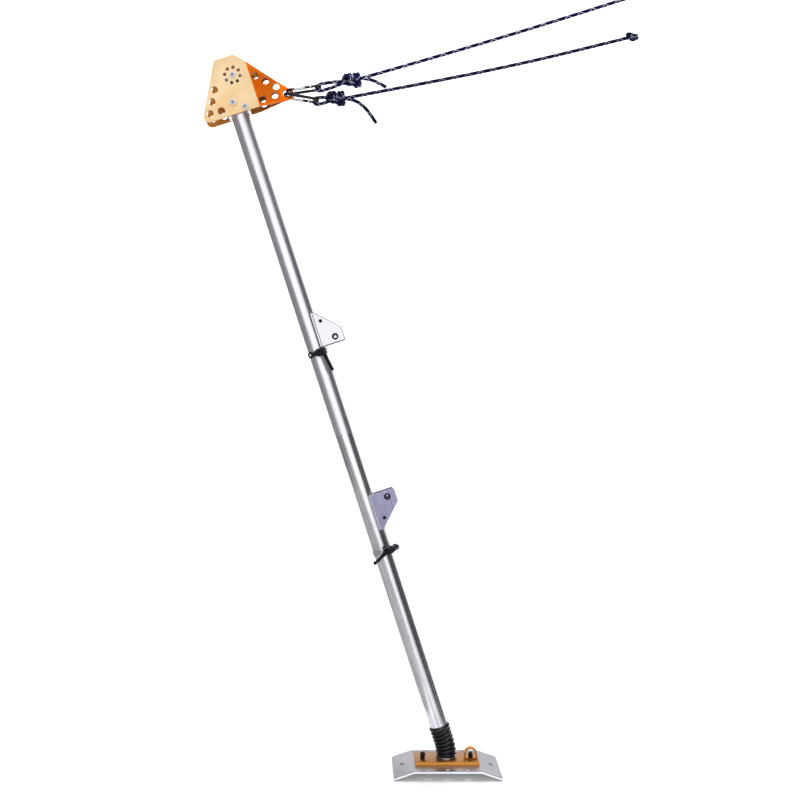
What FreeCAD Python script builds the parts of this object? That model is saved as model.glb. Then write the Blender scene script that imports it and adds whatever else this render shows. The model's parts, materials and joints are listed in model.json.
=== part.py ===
import FreeCAD, Part
import math
import os
import re

import Sketcher
from FreeCAD import Placement, Rotation, Vector

# Gin pole: a two-section tube on a booted universal joint and a bent foot plate,
# with a two-plate pulley head, two sliding winch brackets and a pair of guy ropes.
# The origin is on the ground under the pivot, +Z is up and the pole leans towards -X.

doc = FreeCAD.newDocument("gin_pole")
sheet = doc.addObject("Spreadsheet::Sheet", "sizes")

# Driving dimensions, in millimetres and degrees.
driving = {
    # pole and fits
    "lean_angle": 18.05,
    "run_fit": 0.05,
    "free_gap": 0.3,
    "face_gap": 0.1,
    "overrun": 5,
    # foot
    "foot_height": 30,
    "foot_thickness": 8,
    "foot_depth": 184,
    "foot_flat_width": 206,
    "flap_reach": 64.5,
    "flap_corner": 6,
    "anchor_hole": 14,
    "anchor_pitch": 61,
    "anchor_row_spread": 156,
    "flap_hole": 14,
    "flap_hole_spread": 280,
    "base_width": 200,
    "base_depth": 94,
    "base_thickness": 12,
    "base_chamfer": 1.5,
    "knob_share": 0.75,
    "knob_setback": 16,
    "knob_shank": 10,
    "knob_stem": 14,
    "knob_stem_height": 9,
    "knob_ball": 17,
    "knob_ball_rise": 13,
    "foot_nut_across": 17,
    "foot_nut_height": 8,
    "eye_width": 40,
    "eye_height": 37,
    "eye_depth": 16,
    "eye_wall": 5,
    "eye_bolt_head": 16,
    "eye_bolt_head_height": 9,
    "eye_post": 11,
    "eye_post_height": 7,
    # swivel and universal joint
    "pivot_rise": 30,
    "collar_outer": 64,
    "collar_height": 6,
    "swivel_disc": 48,
    "swivel_shank": 16,
    "swivel_nut_across": 27,
    "swivel_nut_height": 10,
    "ear_gap": 26,
    "ear_thickness": 7,
    "ear_width": 18,
    "cross_block": 18,
    "trunnion": 10,
    "bush_wall": 1.5,
    "bush_flange": 17,
    "bush_flange_thickness": 2,
    "fork_bridge_rise": 26,
    "fork_bridge_thickness": 8,
    "fork_bridge": 44,
    "fork_neck": 30,
    "fork_shoulder": 51,
    "fork_shoulder_height": 8,
    "fork_plug_length": 60,
    "fork_pin": 8,
    "fork_pin_rise": 6,
    # rubber boot
    "boot_bore": 52,
    "boot_valley": 56.4,
    "boot_crest": 62,
    "boot_lip": 12.5,
    "boot_wall": 1.6,
    "boot_lip_rib": 1.2,
    # tubes
    "tube_outer": 57,
    "tube_wall": 4,
    "tube_start": 62,
    "lower_length": 974,
    "upper_length": 1055,
    "spigot_reach": 150,
    "spigot_wall": 4.5,
    "spigot_pin": 8,
    "spigot_pin_drop": 76,
    # head
    "head_inset": 3,
    "head_gap": 60,
    "head_sheet": 6,
    "head_left_foot": 122,
    "head_left_top": 25,
    "head_right_top": 39.5,
    "head_right_foot": 202,
    "head_top": 183,
    "head_left_round": 18,
    "head_top_round": 6,
    "head_tip_round": 16,
    "head_bend": 68,
    "head_lug": 142,
    "tether_hole": 22,
    "tip_hole": 23,
    "tip_across": 160,
    "tip_rise": 24,
    "head_bolt": 12,
    "bolt_across": 19,
    "bolt_head_height": 7.5,
    "bolt_nut_height": 10,
    "axle_across": 17,
    "axle_rise": 122,
    "ring_hole": 10,
    "ring_radius": 24,
    "upper_bolt_across": -8,
    "upper_bolt_rise": 40,
    "lower_bolt_across": 24,
    "lower_bolt_rise": 16,
    "block_width": 72,
    "block_height": 57,
    "block_plug_length": 130,
    "sheave_outer": 100,
    "sheave_width": 26,
    "sheave_groove": 18,
    "sheave_groove_rise": 2,
    "bearing_outer": 34,
    "spacer_outer": 22,
    # winch brackets and their clamps
    "hood_inner": 50,
    "hood_sheet": 4,
    "hood_reach": 96.5,
    "hood_edge": 42,
    "hood_length": 112,
    "hood_neck": 27,
    "upper_bracket_rise": 282,
    "lower_bracket_rise": 768,
    "pin_across": 69,
    "pin_rise": 19,
    "pin_bore": 9,
    "pin_bush_outer": 12,
    "pin_bush_flange": 18,
    "pin_flange_thickness": 2,
    "rivet_across": 40,
    "rivet_rise": 79,
    "rivet_shank": 6,
    "rivet_head": 11,
    "rivet_head_height": 3,
    "band_thickness": 2.2,
    "band_height": 16,
    "band_slot": 8,
    "upper_band_offset": -14,
    "lower_band_offset": 179,
    "strap_width": 24,
    "band_ear_thickness": 4,
    "band_ear_end": 54,
    "clamp_screw_reach": 45,
    "clamp_screw": 8,
    "clamp_head": 15,
    "clamp_head_height": 7,
    "upper_clamp_turn": -102,
    "lower_clamp_turn": -36,
    "lever_hub": 21,
    "lever_hub_length": 28,
    "lever_thread": 16,
    "lever_arm": 62,
    "lever_root": 29,
    "lever_splay": 10,
    "lever_thick_end": 12,
    "lever_thin_end": 9.5,
    "lever_tip_ball": 11.5,
    "upper_lever_turn": 0,
    "lower_lever_turn": 115.5,
    # guy lines
    "carabiner_length": 113,
    "carabiner_width": 58,
    "carabiner_rod": 9.5,
    "carabiner_corner": 14,
    "gate_nose": 18,
    "gate_hinge": 80,
    "gate_rod": 8.6,
    "gate_clearance": 0.4,
    "gate_pin": 3,
    "gate_pin_length": 9,
    "tongue_thickness": 3,
    "tongue_width": 6,
    "tongue_reach": 4,
    "sleeve_outer": 14,
    "sleeve_start": 22,
    "sleeve_length": 34,
    "upper_bar_across": 3,
    "upper_bar_rise": 5,
    "upper_carabiner_tilt": 8,
    "lower_bar_across": -4,
    "lower_bar_rise": -5,
    "lower_carabiner_tilt": -10,
    "rope": 11,
    "knot_length": 68,
    "upper_knot_depth": 50,
    "upper_knot_height": 56,
    "lower_knot_depth": 46,
    "lower_knot_height": 48,
    "end_knot_length": 44,
    "end_knot_width": 30,
}

for row, (alias, number) in enumerate(driving.items(), 1):
    sheet.set(f"A{row}", alias)
    sheet.set(f"B{row}", str(number))
    sheet.setAlias(f"B{row}", alias)
doc.recompute()

# Sizes and places that follow from the driving ones, as formulas.
tube_radius = "(tube_outer / 2)"
bore_radius = "(tube_outer / 2 - tube_wall)"
base_top = "(foot_height + base_thickness)"
foot_under = "(foot_height - foot_thickness)"
foot_half = "(foot_flat_width / 2 + flap_reach)"
flap_slope = "((foot_height - foot_thickness) / flap_reach)"
pivot = "(foot_height + base_thickness + pivot_rise)"
disc_under = "(foot_height + base_thickness + face_gap)"
disc_top = "(foot_height + base_thickness + face_gap + collar_height)"
ear_radius = "(ear_width / 2)"
ear_outer = "(ear_gap / 2 + ear_thickness)"
bush_outer = "(trunnion / 2 + run_fit + bush_wall)"
joint_line = "(tube_start + lower_length)"
head_base = "(tube_start + lower_length + face_gap + upper_length - head_inset)"
head_outer = "(head_gap / 2 + head_sheet)"
slide_radius = "(tube_outer / 2 + free_gap)"
band_radius = "(tube_outer / 2 + free_gap + band_thickness)"
upper_bracket_edge = "(tube_start + lower_length + upper_bracket_rise)"
lower_bracket_edge = "(tube_start + lower_bracket_rise)"
rod_line = "(carabiner_length - carabiner_rod)"
rod_half = "((carabiner_width - carabiner_rod) / 2)"
knob_x = "(base_width * knob_share / 2)"


def formula(text):
    def sheet_name(word):
        return f"sizes.{word[0]}" if word[0] in driving else word[0]
    return re.sub(r"[a-z]\w+", sheet_name, text)


def value(text):
    return float(sheet.evalExpression(formula(text)))


def bind(item, **formulas):
    for name, text in formulas.items():
        item.setExpression(name, formula(text))
    return item


# Frames

along = {
    "x": "rotation(vector(0; 1; 0); 90)",
    "y": "rotation(vector(1; 0; 0); -90)",
    "z": "rotation(vector(0; 0; 1); 0)",
}


def put(item, x="0", y="0", z="0", turn=along["z"]):
    return bind(item, Placement=f"placement(vector({x}; {y}; {z}); {turn})")


def on_pole(item, u="0", w="0", spin="0", flip="0"):
    east = f"({u}) * cos(lean_angle) - ({w}) * sin(lean_angle)"
    up = f"{pivot} + ({u}) * sin(lean_angle) + ({w}) * cos(lean_angle)"
    leaning = f"placement(vector({east}; 0; {up}); rotation(vector(0; 1; 0); -lean_angle))"
    spun = f"placement(vector(0; 0; 0); rotation(vector(0; 0; 1); {spin}))"
    flipped = f"placement(vector(0; 0; 0); rotation(vector(1; 0; 0); {flip}))"
    return bind(item, Placement=f"{leaning} * {spun} * {flipped}")


# Primitives and booleans

def cylinder(name, radius, length, x="0", y="0", z="0", axis="z"):
    item = doc.addObject("Part::Cylinder", name)
    bind(item, Radius=radius, Height=length)
    return put(item, x, y, z, along[axis])


def box(name, length, width, height, x="0", y="0", z="0"):
    item = doc.addObject("Part::Box", name)
    bind(item, Length=length, Width=width, Height=height)
    return put(item, x, y, z)


def centred_box(name, length, width, height, x="0", y="0", z="0"):
    return box(name, length, width, height, f"({x}) - ({length}) / 2", f"({y}) - ({width}) / 2", z)


def hexagon(name, across, height, x="0", y="0", z="0", axis="z"):
    item = doc.addObject("Part::Prism", name)
    item.Polygon = 6
    bind(item, Circumradius=f"({across}) / sqrt(3)", Height=height)
    return put(item, x, y, z, along[axis])


def ball(name, radius, x="0", y="0", z="0"):
    item = doc.addObject("Part::Sphere", name)
    bind(item, Radius=radius)
    return put(item, x, y, z)


def cone(name, start, end, length):
    item = doc.addObject("Part::Cone", name)
    return bind(item, Radius1=start, Radius2=end, Height=length)


def torus(name, ring, tube, x="0", y="0", z="0", axis="z"):
    item = doc.addObject("Part::Torus", name)
    bind(item, Radius1=ring, Radius2=tube)
    return put(item, x, y, z, along[axis])


def ellipsoid(name, across, side, height, x="0", y="0", z="0"):
    item = doc.addObject("Part::Ellipsoid", name)
    bind(item, Radius1=height, Radius2=across, Radius3=side)
    return put(item, x, y, z)


def fuse(name, *items):
    item = doc.addObject("Part::MultiFuse", name)
    item.Shapes = list(items)
    item.Refine = True
    return item


def group(name, *items):
    item = doc.addObject("Part::Compound", name)
    item.Links = list(items)
    return item


def cut(name, base, *tools):
    item = doc.addObject("Part::Cut", name)
    item.Base = base
    item.Tool = tools[0] if len(tools) == 1 else fuse(name + "_tools", *tools)
    return item


def common(name, first, second):
    item = doc.addObject("Part::Common", name)
    item.Base = first
    item.Tool = second
    return item


def tube(name, outer, inner, length, x="0", y="0", z="0", axis="z"):
    start = {"x": x, "y": y, "z": z}
    start[axis] = f"({start[axis]}) - overrun"
    solid = cylinder(name + "_outer", outer, length, x, y, z, axis)
    hollow = cylinder(name + "_inner", inner, f"({length}) + 2 * overrun", axis=axis, **start)
    return cut(name, solid, hollow)


# Part Design features

def new_body(name):
    return doc.addObject("PartDesign::Body", name)


def sketch_on(body, name, role):
    sketch = body.newObject("Sketcher::SketchObject", name)
    plane = [item for item in body.Origin.OriginFeatures if item.Role == role][0]
    sketch.AttachmentSupport = [(plane, "")]
    sketch.MapMode = "FlatFace"
    return sketch


def fix_point(sketch, geometry, vertex, x, y):
    for kind, text in (("DistanceX", x), ("DistanceY", y)):
        rule = Sketcher.Constraint(kind, -1, 1, geometry, vertex, value(text))
        index = sketch.addConstraint(rule)
        sketch.setExpression(f"Constraints[{index}]", formula(text))


def trace(sketch, corners):
    points = [Vector(value(x), value(y), 0) for x, y in corners]
    for start, end in zip(points, points[1:] + points[:1]):
        sketch.addGeometry(Part.LineSegment(start, end), False)
    for index in range(len(corners)):
        following = (index + 1) % len(corners)
        sketch.addConstraint(Sketcher.Constraint("Coincident", index, 2, following, 1))
    for index, (x, y) in enumerate(corners):
        fix_point(sketch, index, 1, x, y)


def add_circle(sketch, x, y, radius):
    shape = Part.Circle(Vector(value(x), value(y), 0), Vector(0, 0, 1), value(radius))
    geometry = sketch.addGeometry(shape, False)
    fix_point(sketch, geometry, 3, x, y)
    index = sketch.addConstraint(Sketcher.Constraint("Radius", geometry, value(radius)))
    sketch.setExpression(f"Constraints[{index}]", formula(radius))


def pad(body, sketch, length):
    feature = body.newObject("PartDesign::Pad", sketch.Name + "_pad")
    feature.Profile = sketch
    feature.SideType = "Symmetric"
    bind(feature, Length=length)
    doc.recompute()


def pocket(body, sketch, length=None):
    before = body.Shape.Volume
    feature = body.newObject("PartDesign::Pocket", sketch.Name + "_pocket")
    feature.Profile = sketch
    feature.SideType = "Symmetric"
    if length:
        bind(feature, Length=length)
    else:
        feature.Type = "ThroughAll"
    doc.recompute()
    if body.Shape.Volume >= before:
        raise RuntimeError(f"{feature.Name} cut nothing")


def dress(body, kind, name, edges, **formulas):
    feature = body.newObject(f"PartDesign::{kind}", name)
    feature.Base = (body.Tip if body.Tip != feature else feature.BaseFeature, edges)
    bind(feature, **formulas)
    doc.recompute()


def edges_where(body, test):
    return [f"Edge{index}" for index, edge in enumerate(body.Shape.Edges, 1) if test(edge)]


def runs_along(edge, direction):
    if edge.Curve.TypeId != "Part::GeomLine":
        return False
    return abs(abs(edge.tangentAt(edge.FirstParameter).dot(direction)) - 1) < 1e-6


# Ropes and rods: straight runs joined by tangent arcs

def bend_radius(before, corner, after):
    arrive = corner - before
    leave = after - corner
    half_turn = arrive.getAngle(leave) / 2
    setback_share = 0.45
    return setback_share * min(arrive.Length, leave.Length) / math.tan(half_turn)


def route_wire(points, radii):
    edges = []
    start = points[0]
    for index in range(1, len(points) - 1):
        corner = points[index]
        back = (points[index - 1] - corner).normalize()
        ahead = (points[index + 1] - corner).normalize()
        half_open = back.getAngle(ahead) / 2
        radius = radii[index - 1]
        setback = radius / math.tan(half_open)
        middle = (back + ahead).normalize()
        centre = corner + middle * (radius / math.sin(half_open))
        enter = corner + back * setback
        leave = corner + ahead * setback
        edges.append(Part.LineSegment(start, enter).toShape())
        edges.append(Part.Arc(enter, centre - middle * radius, leave).toShape())
        start = leave
    edges.append(Part.LineSegment(start, points[-1]).toShape())
    return Part.Wire(edges)


def pipe_along(name, points, radii, radius):
    wire = route_wire(points, radii)
    direction = points[1] - points[0]
    section = Part.Wire([Part.Circle(points[0], direction, radius).toShape()])
    solid = wire.makePipeShell([section], True, False)
    share = solid.Volume / (math.pi * radius ** 2 * wire.Length)
    rounded = ", ".join(f"{bend:.0f}" for bend in radii)
    print(f"{name}: length {wire.Length:.1f}, bend radii {rounded}, volume share {share:.4f}")
    return solid


def free_rope(name, route, radius):
    points = [Vector(*point) for point in route]
    radii = [bend_radius(*points[index:index + 3]) for index in range(len(points) - 2)]
    return pipe_along(name, points, radii, radius)


def shaped(name, solid):
    item = doc.addObject("Part::Feature", name)
    item.Shape = solid
    return item


finished = {}


def finish(label, item):
    item.Label = label
    finished[label] = item


# Foot

def foot_plate():
    body = new_body("foot_sheet")
    profile = sketch_on(body, "foot_profile", "XZ_Plane")
    top_bend = f"(foot_flat_width / 2 + foot_thickness * {flap_slope} / 2)"
    end_top = f"(foot_thickness * sqrt(1 + {flap_slope} ^ 2))"
    right = [
        ("foot_flat_width / 2", foot_under),
        (foot_half, "0"),
        (foot_half, end_top),
        (top_bend, "foot_height"),
    ]
    left = [(f"-{x}", z) for x, z in reversed(right)]
    trace(profile, right + left)
    pad(body, profile, "foot_depth")
    corners = edges_where(body, lambda edge: runs_along(edge, Vector(0, 0, 1)))
    dress(body, "Fillet", "foot_corners", corners, Radius="flap_corner")
    holes = sketch_on(body, "foot_holes", "XY_Plane")
    for x in ("-anchor_pitch", "0", "anchor_pitch"):
        add_circle(holes, x, "-anchor_row_spread / 2", "anchor_hole / 2")
        add_circle(holes, x, "anchor_row_spread / 2", "anchor_hole / 2")
    for x in ("-flap_hole_spread / 2", "flap_hole_spread / 2"):
        add_circle(holes, x, "0", "flap_hole / 2")
    add_fixing_holes(holes)
    pocket(body, holes)
    finish("foot_plate", body)


def add_fixing_holes(sketch):
    add_circle(sketch, "0", "0", "swivel_shank / 2 + run_fit")
    add_circle(sketch, f"-{knob_x}", "-knob_setback", "knob_shank / 2 + run_fit")
    add_circle(sketch, knob_x, "-knob_setback", "knob_shank / 2")


def base_plate():
    body = new_body("base_block")
    outline = sketch_on(body, "base_outline", "XY_Plane")
    trace(outline, [
        ("-base_width / 2", "-base_depth / 2"),
        ("base_width / 2", "-base_depth / 2"),
        ("base_width / 2", "base_depth / 2"),
        ("-base_width / 2", "base_depth / 2"),
    ])
    pad(body, outline, "base_thickness")
    top = value("base_thickness / 2")
    rim = edges_where(body, lambda edge: edge.CenterOfMass.z > top - value("overrun") / 100)
    dress(body, "Chamfer", "base_rim", rim, Size="base_chamfer")
    holes = sketch_on(body, "base_holes", "XY_Plane")
    add_fixing_holes(holes)
    pocket(body, holes)
    put(body, z="foot_height + base_thickness / 2")
    finish("base_plate", body)


def foot_fittings():
    place = {"x": f"-{knob_x}", "y": "-knob_setback"}
    reach = f"({disc_under} - {foot_under} + foot_nut_height)"
    knob = fuse(
        "knob_turning",
        cylinder("knob_thread", "knob_shank / 2", reach, z=f"{foot_under} - foot_nut_height", **place),
        cylinder("knob_stem_part", "knob_stem / 2", "knob_stem_height", z=disc_under, **place),
        ball("knob_ball_part", "knob_ball / 2", z=f"{base_top} + knob_ball_rise", **place),
    )
    finish("foot_knob", knob)

    place["x"] = knob_x
    arch = "(eye_height - eye_width / 2)"
    inner = "(eye_width / 2 - eye_wall)"
    centre = f"{base_top} + {arch}"
    deep = "(eye_depth + 2 * overrun)"
    front = "-knob_setback - eye_depth / 2"
    past = f"{front} - overrun"
    block = fuse(
        "eye_block",
        centred_box("eye_legs", "eye_width", "eye_depth", arch, z=base_top, **place),
        cylinder("eye_crown", "eye_width / 2", "eye_depth", knob_x, front, centre, "y"),
    )
    leg_gap = centred_box("eye_gap", f"2 * {inner}", deep, f"{arch} - eye_wall",
                          z=f"{base_top} + eye_wall", **place)
    eye = cut(
        "eye_arch", block, leg_gap,
        cylinder("eye_crown_gap", inner, deep, knob_x, past, centre, "y"),
        centred_box("eye_underside", "eye_width", deep, "eye_width / 2",
                    z=f"{base_top} - eye_width / 2", **place),
        cylinder("eye_bolt_hole", "knob_shank / 2", "eye_wall + 2 * overrun",
                 z=f"{base_top} - overrun", **place),
    )
    finish("foot_eye", eye)

    seat = f"({base_top} + eye_wall)"
    bolt = fuse(
        "eye_bolt_turning",
        cylinder("eye_bolt_thread", "knob_shank / 2", f"{seat} - {foot_under} + foot_nut_height",
                 z=f"{foot_under} - foot_nut_height", **place),
        cylinder("eye_bolt_cap", "eye_bolt_head / 2", "eye_bolt_head_height", z=seat, **place),
        cylinder("eye_bolt_post", "eye_post / 2", "eye_post_height",
                 z=f"{seat} + eye_bolt_head_height", **place),
    )
    finish("eye_bolt", bolt)

    nuts = []
    for name, x, fit in (("knob_nut", f"-{knob_x}", "run_fit"), ("eye_nut", knob_x, "0")):
        low = f"({foot_under} - foot_nut_height)"
        bored = cylinder(name + "_thread", f"knob_shank / 2 + {fit}", "foot_nut_height + 2 * overrun",
                         x, "-knob_setback", f"{low} - overrun")
        prism = hexagon(name + "_prism", "foot_nut_across", "foot_nut_height", x, "-knob_setback", low)
        nuts.append(cut(name, prism, bored))
    finish("foot_nuts", group("foot_nut_pair", *nuts))


# Swivel and universal joint

def swivel():
    shank_low = f"({foot_under} - face_gap - swivel_nut_height)"
    ears = []
    bores = []
    for name, side in (("left_ear", "-1"), ("right_ear", "1")):
        middle = f"{side} * (ear_gap + ear_thickness) / 2"
        start = f"{middle} - ear_thickness / 2"
        ears.append(centred_box(name, "ear_thickness", "ear_width", f"{pivot} - {disc_top}",
                                middle, z=disc_top))
        ears.append(cylinder(name + "_round", ear_radius, "ear_thickness", start, z=pivot, axis="x"))
        bores.append(cylinder(name + "_bore", bush_outer, "ear_thickness + 2 * overrun",
                              f"{start} - overrun", z=pivot, axis="x"))
    blank = fuse(
        "yoke_blank",
        cylinder("yoke_disc", "swivel_disc / 2", "collar_height", z=disc_under),
        cylinder("yoke_shank", "swivel_shank / 2", f"{disc_under} - {shank_low}", z=shank_low),
        *ears,
    )
    finish("swivel_yoke", cut("yoke", blank, *bores))

    prism = hexagon("swivel_nut_prism", "swivel_nut_across", "swivel_nut_height", z=shank_low)
    thread = cylinder("swivel_nut_thread", "swivel_shank / 2", "swivel_nut_height + 2 * overrun",
                      z=f"{shank_low} - overrun")
    finish("swivel_nut", cut("swivel_nut_cut", prism, thread))
    finish("boot_collar", tube("collar_ring", "collar_outer / 2", "swivel_disc / 2", "collar_height",
                               z=disc_under))


def joint_bushes(label, axis):
    sleeves = []
    for side in ("-1", "1"):
        name = f"{label}_{'near' if side == '1' else 'far'}"
        inside = "ear_gap / 2 - bush_flange_thickness"
        length = "ear_thickness + bush_flange_thickness"
        low = inside if side == "1" else f"-({inside}) - ({length})"
        flange_low = inside if side == "1" else "-ear_gap / 2"
        spots = {"z": pivot}
        blank = fuse(
            name + "_blank",
            cylinder(name + "_sleeve", bush_outer, length, axis=axis, **{**spots, axis: low}),
            cylinder(name + "_flange", "bush_flange / 2", "bush_flange_thickness", axis=axis,
                     **{**spots, axis: flange_low}),
        )
        bore = cylinder(name + "_bore", "trunnion / 2 + run_fit", f"{length} + 2 * overrun", axis=axis,
                        **{**spots, axis: f"{low} - overrun"})
        sleeves.append(cut(name, blank, bore))
    finish(label, group(label + "_pair", *sleeves))


def cross():
    long = f"2 * {ear_outer}"
    spider = fuse(
        "cross_spider",
        centred_box("cross_centre", "cross_block", "cross_block", "cross_block",
                    z=f"{pivot} - cross_block / 2"),
        cylinder("cross_side_pins", "trunnion / 2", long, f"-{ear_outer}", z=pivot, axis="x"),
        cylinder("cross_fore_pins", "trunnion / 2", long, y=f"-{ear_outer}", z=pivot, axis="y"),
    )
    finish("cross", spider)


def pole_fork():
    ears = []
    bores = []
    for name, side in (("front_ear", "-1"), ("rear_ear", "1")):
        middle = f"{side} * (ear_gap + ear_thickness) / 2"
        start = f"{middle} - ear_thickness / 2"
        ears.append(centred_box(name, "ear_width", "ear_thickness", "fork_bridge_rise", y=middle))
        ears.append(cylinder(name + "_round", ear_radius, "ear_thickness", y=start, axis="y"))
        bores.append(cylinder(name + "_bore", bush_outer, "ear_thickness + 2 * overrun",
                              y=f"{start} - overrun", axis="y"))
    shoulder = "(tube_start - fork_shoulder_height)"
    blank = fuse(
        "fork_blank",
        cylinder("fork_bridge_part", "fork_bridge / 2", "fork_bridge_thickness", z="fork_bridge_rise"),
        cylinder("fork_neck_part", "fork_neck / 2", f"{shoulder} - fork_bridge_rise", z="fork_bridge_rise"),
        cylinder("fork_shoulder_part", "fork_shoulder / 2", "fork_shoulder_height", z=shoulder),
        cylinder("fork_plug_part", bore_radius, "fork_plug_length", z="tube_start"),
        *ears,
    )
    finish("pole_fork", on_pole(cut("fork", blank, *bores, fork_pin_bar("fork_pin_hole", "overrun"))))
    finish("fork_pin", on_pole(group("fork_pin_set", fork_pin_bar("fork_pin_bar", "-free_gap"))))


def fork_pin_bar(name, spare):
    half = f"({tube_radius} + {spare})"
    return cylinder(name, "fork_pin / 2", f"2 * {half}", y=f"-{half}",
                    z="tube_start + fork_pin_rise", axis="y")


# Rubber boot: ribs follow a bent line from the collar to the tube

def rubber_boot():
    reach = value(f"{pivot} - {disc_top}")
    lean = math.radians(value("lean_angle"))
    bend = reach / math.tan(lean / 2)
    arc_length = bend * lean
    top = value("tube_start + boot_lip")
    total = arc_length + top - reach
    lip_start = total - value("boot_lip + free_gap + boot_wall")

    def ring(distance, radius):
        if distance < arc_length:
            turn = distance / bend
            centre = Vector(-bend * (1 - math.cos(turn)), 0, bend * math.sin(turn))
        else:
            turn = lean
            rise = reach + distance - arc_length
            centre = Vector(-rise * math.sin(lean), 0, reach + rise * math.cos(lean))
        wire = Part.Wire([Part.Circle(Vector(), Vector(0, 0, 1), radius).toShape()])
        wire.Placement = Placement(centre, Rotation(Vector(0, 1, 0), -math.degrees(turn)))
        return wire

    valley = value("boot_valley / 2")
    crest = value("boot_crest / 2")
    lip_inner = value(f"{tube_radius} + free_gap")
    lip_valley = lip_inner + value("boot_wall")
    lip_crest = lip_valley + value("boot_lip_rib")
    body_ribs = 9
    lip_ribs = 2
    spans = [(0, lip_start, body_ribs, valley, crest),
             (lip_start, total, lip_ribs, lip_valley, lip_crest)]
    rings = []
    for start, end, ribs, low, high in spans:
        pitch = (end - start) / ribs
        for rib in range(ribs):
            foot = start + rib * pitch
            for pitch_share, radius in ((0, low), (0.25, high), (0.55, high), (0.8, low)):
                rings.append(ring(foot + pitch_share * pitch, radius))
    rings.append(ring(total, lip_valley))
    skin = Part.makeLoft(rings, True, True)

    bore = value("boot_bore / 2")
    spare = value("overrun")
    step = total - value("boot_lip + free_gap")
    bore_steps = 12
    stops = [-spare] + [arc_length * stop / bore_steps for stop in range(bore_steps + 1)] + [step]
    hollow = Part.makeLoft([ring(stop, bore) for stop in stops], True, True)
    lip = Part.makeLoft([ring(step, lip_inner), ring(total + spare, lip_inner)], True, True)
    boot = skin.cut(hollow).cut(lip)
    item = shaped("boot_rubber", boot)
    put(item, z=disc_top)
    print(f"rubber boot: volume {boot.Volume:.0f}, solids {len(boot.Solids)}")
    finish("rubber_boot", item)


# Pole sections

def pole_tubes():
    lower = cut(
        "lower_tube_cut",
        tube("lower_pipe", tube_radius, bore_radius, "lower_length", z="tube_start"),
        fork_pin_bar("lower_tube_pin_hole", "overrun"),
        spigot_pin_bar("lower_tube_spigot_hole", "overrun"),
    )
    finish("lower_tube", on_pole(lower))
    spigot_outer = f"({bore_radius} - run_fit)"
    pipe = tube("spigot_pipe", spigot_outer, f"{spigot_outer} - spigot_wall", "2 * spigot_reach",
                z=f"{joint_line} - spigot_reach")
    finish("spigot", on_pole(cut("spigot_cut", pipe, spigot_pin_bar("spigot_hole", "overrun"))))
    finish("spigot_pin", on_pole(group("spigot_pin_set", spigot_pin_bar("spigot_pin_bar", "-free_gap"))))
    upper = tube("upper_pipe", tube_radius, bore_radius, "upper_length", z=f"{joint_line} + face_gap")
    finish("upper_tube", on_pole(upper))


def spigot_pin_bar(name, spare):
    half = f"({tube_radius} + {spare})"
    return cylinder(name, "spigot_pin / 2", f"2 * {half}", f"-{half}",
                    z=f"{joint_line} - spigot_pin_drop", axis="x")


# Head: plates, block, sheave and bolts, drawn from the head's base line

# Each tether hole: the reach it follows, its share of that reach and of the head's height.
tether_shares = [
    ("-head_left_foot", 0.418, 0.522),
    ("-head_left_foot", 0.569, 0.339),
    ("-head_left_foot", 0.711, 0.156),
    ("-head_left_foot", 0.410, 0.142),
    ("head_right_foot", 0.411, 0.546),
    ("head_right_foot", 0.540, 0.426),
    ("head_right_foot", 0.668, 0.295),
    ("head_right_foot", 0.606, 0.148),
    ("head_right_foot", 0.411, 0.123),
]
head_bolts_at = [
    ("upper_bolt", "upper_bolt_across", "upper_bolt_rise"),
    ("lower_bolt", "lower_bolt_across", "lower_bolt_rise"),
]
axle_at = ("axle", "axle_across", "axle_rise")


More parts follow.
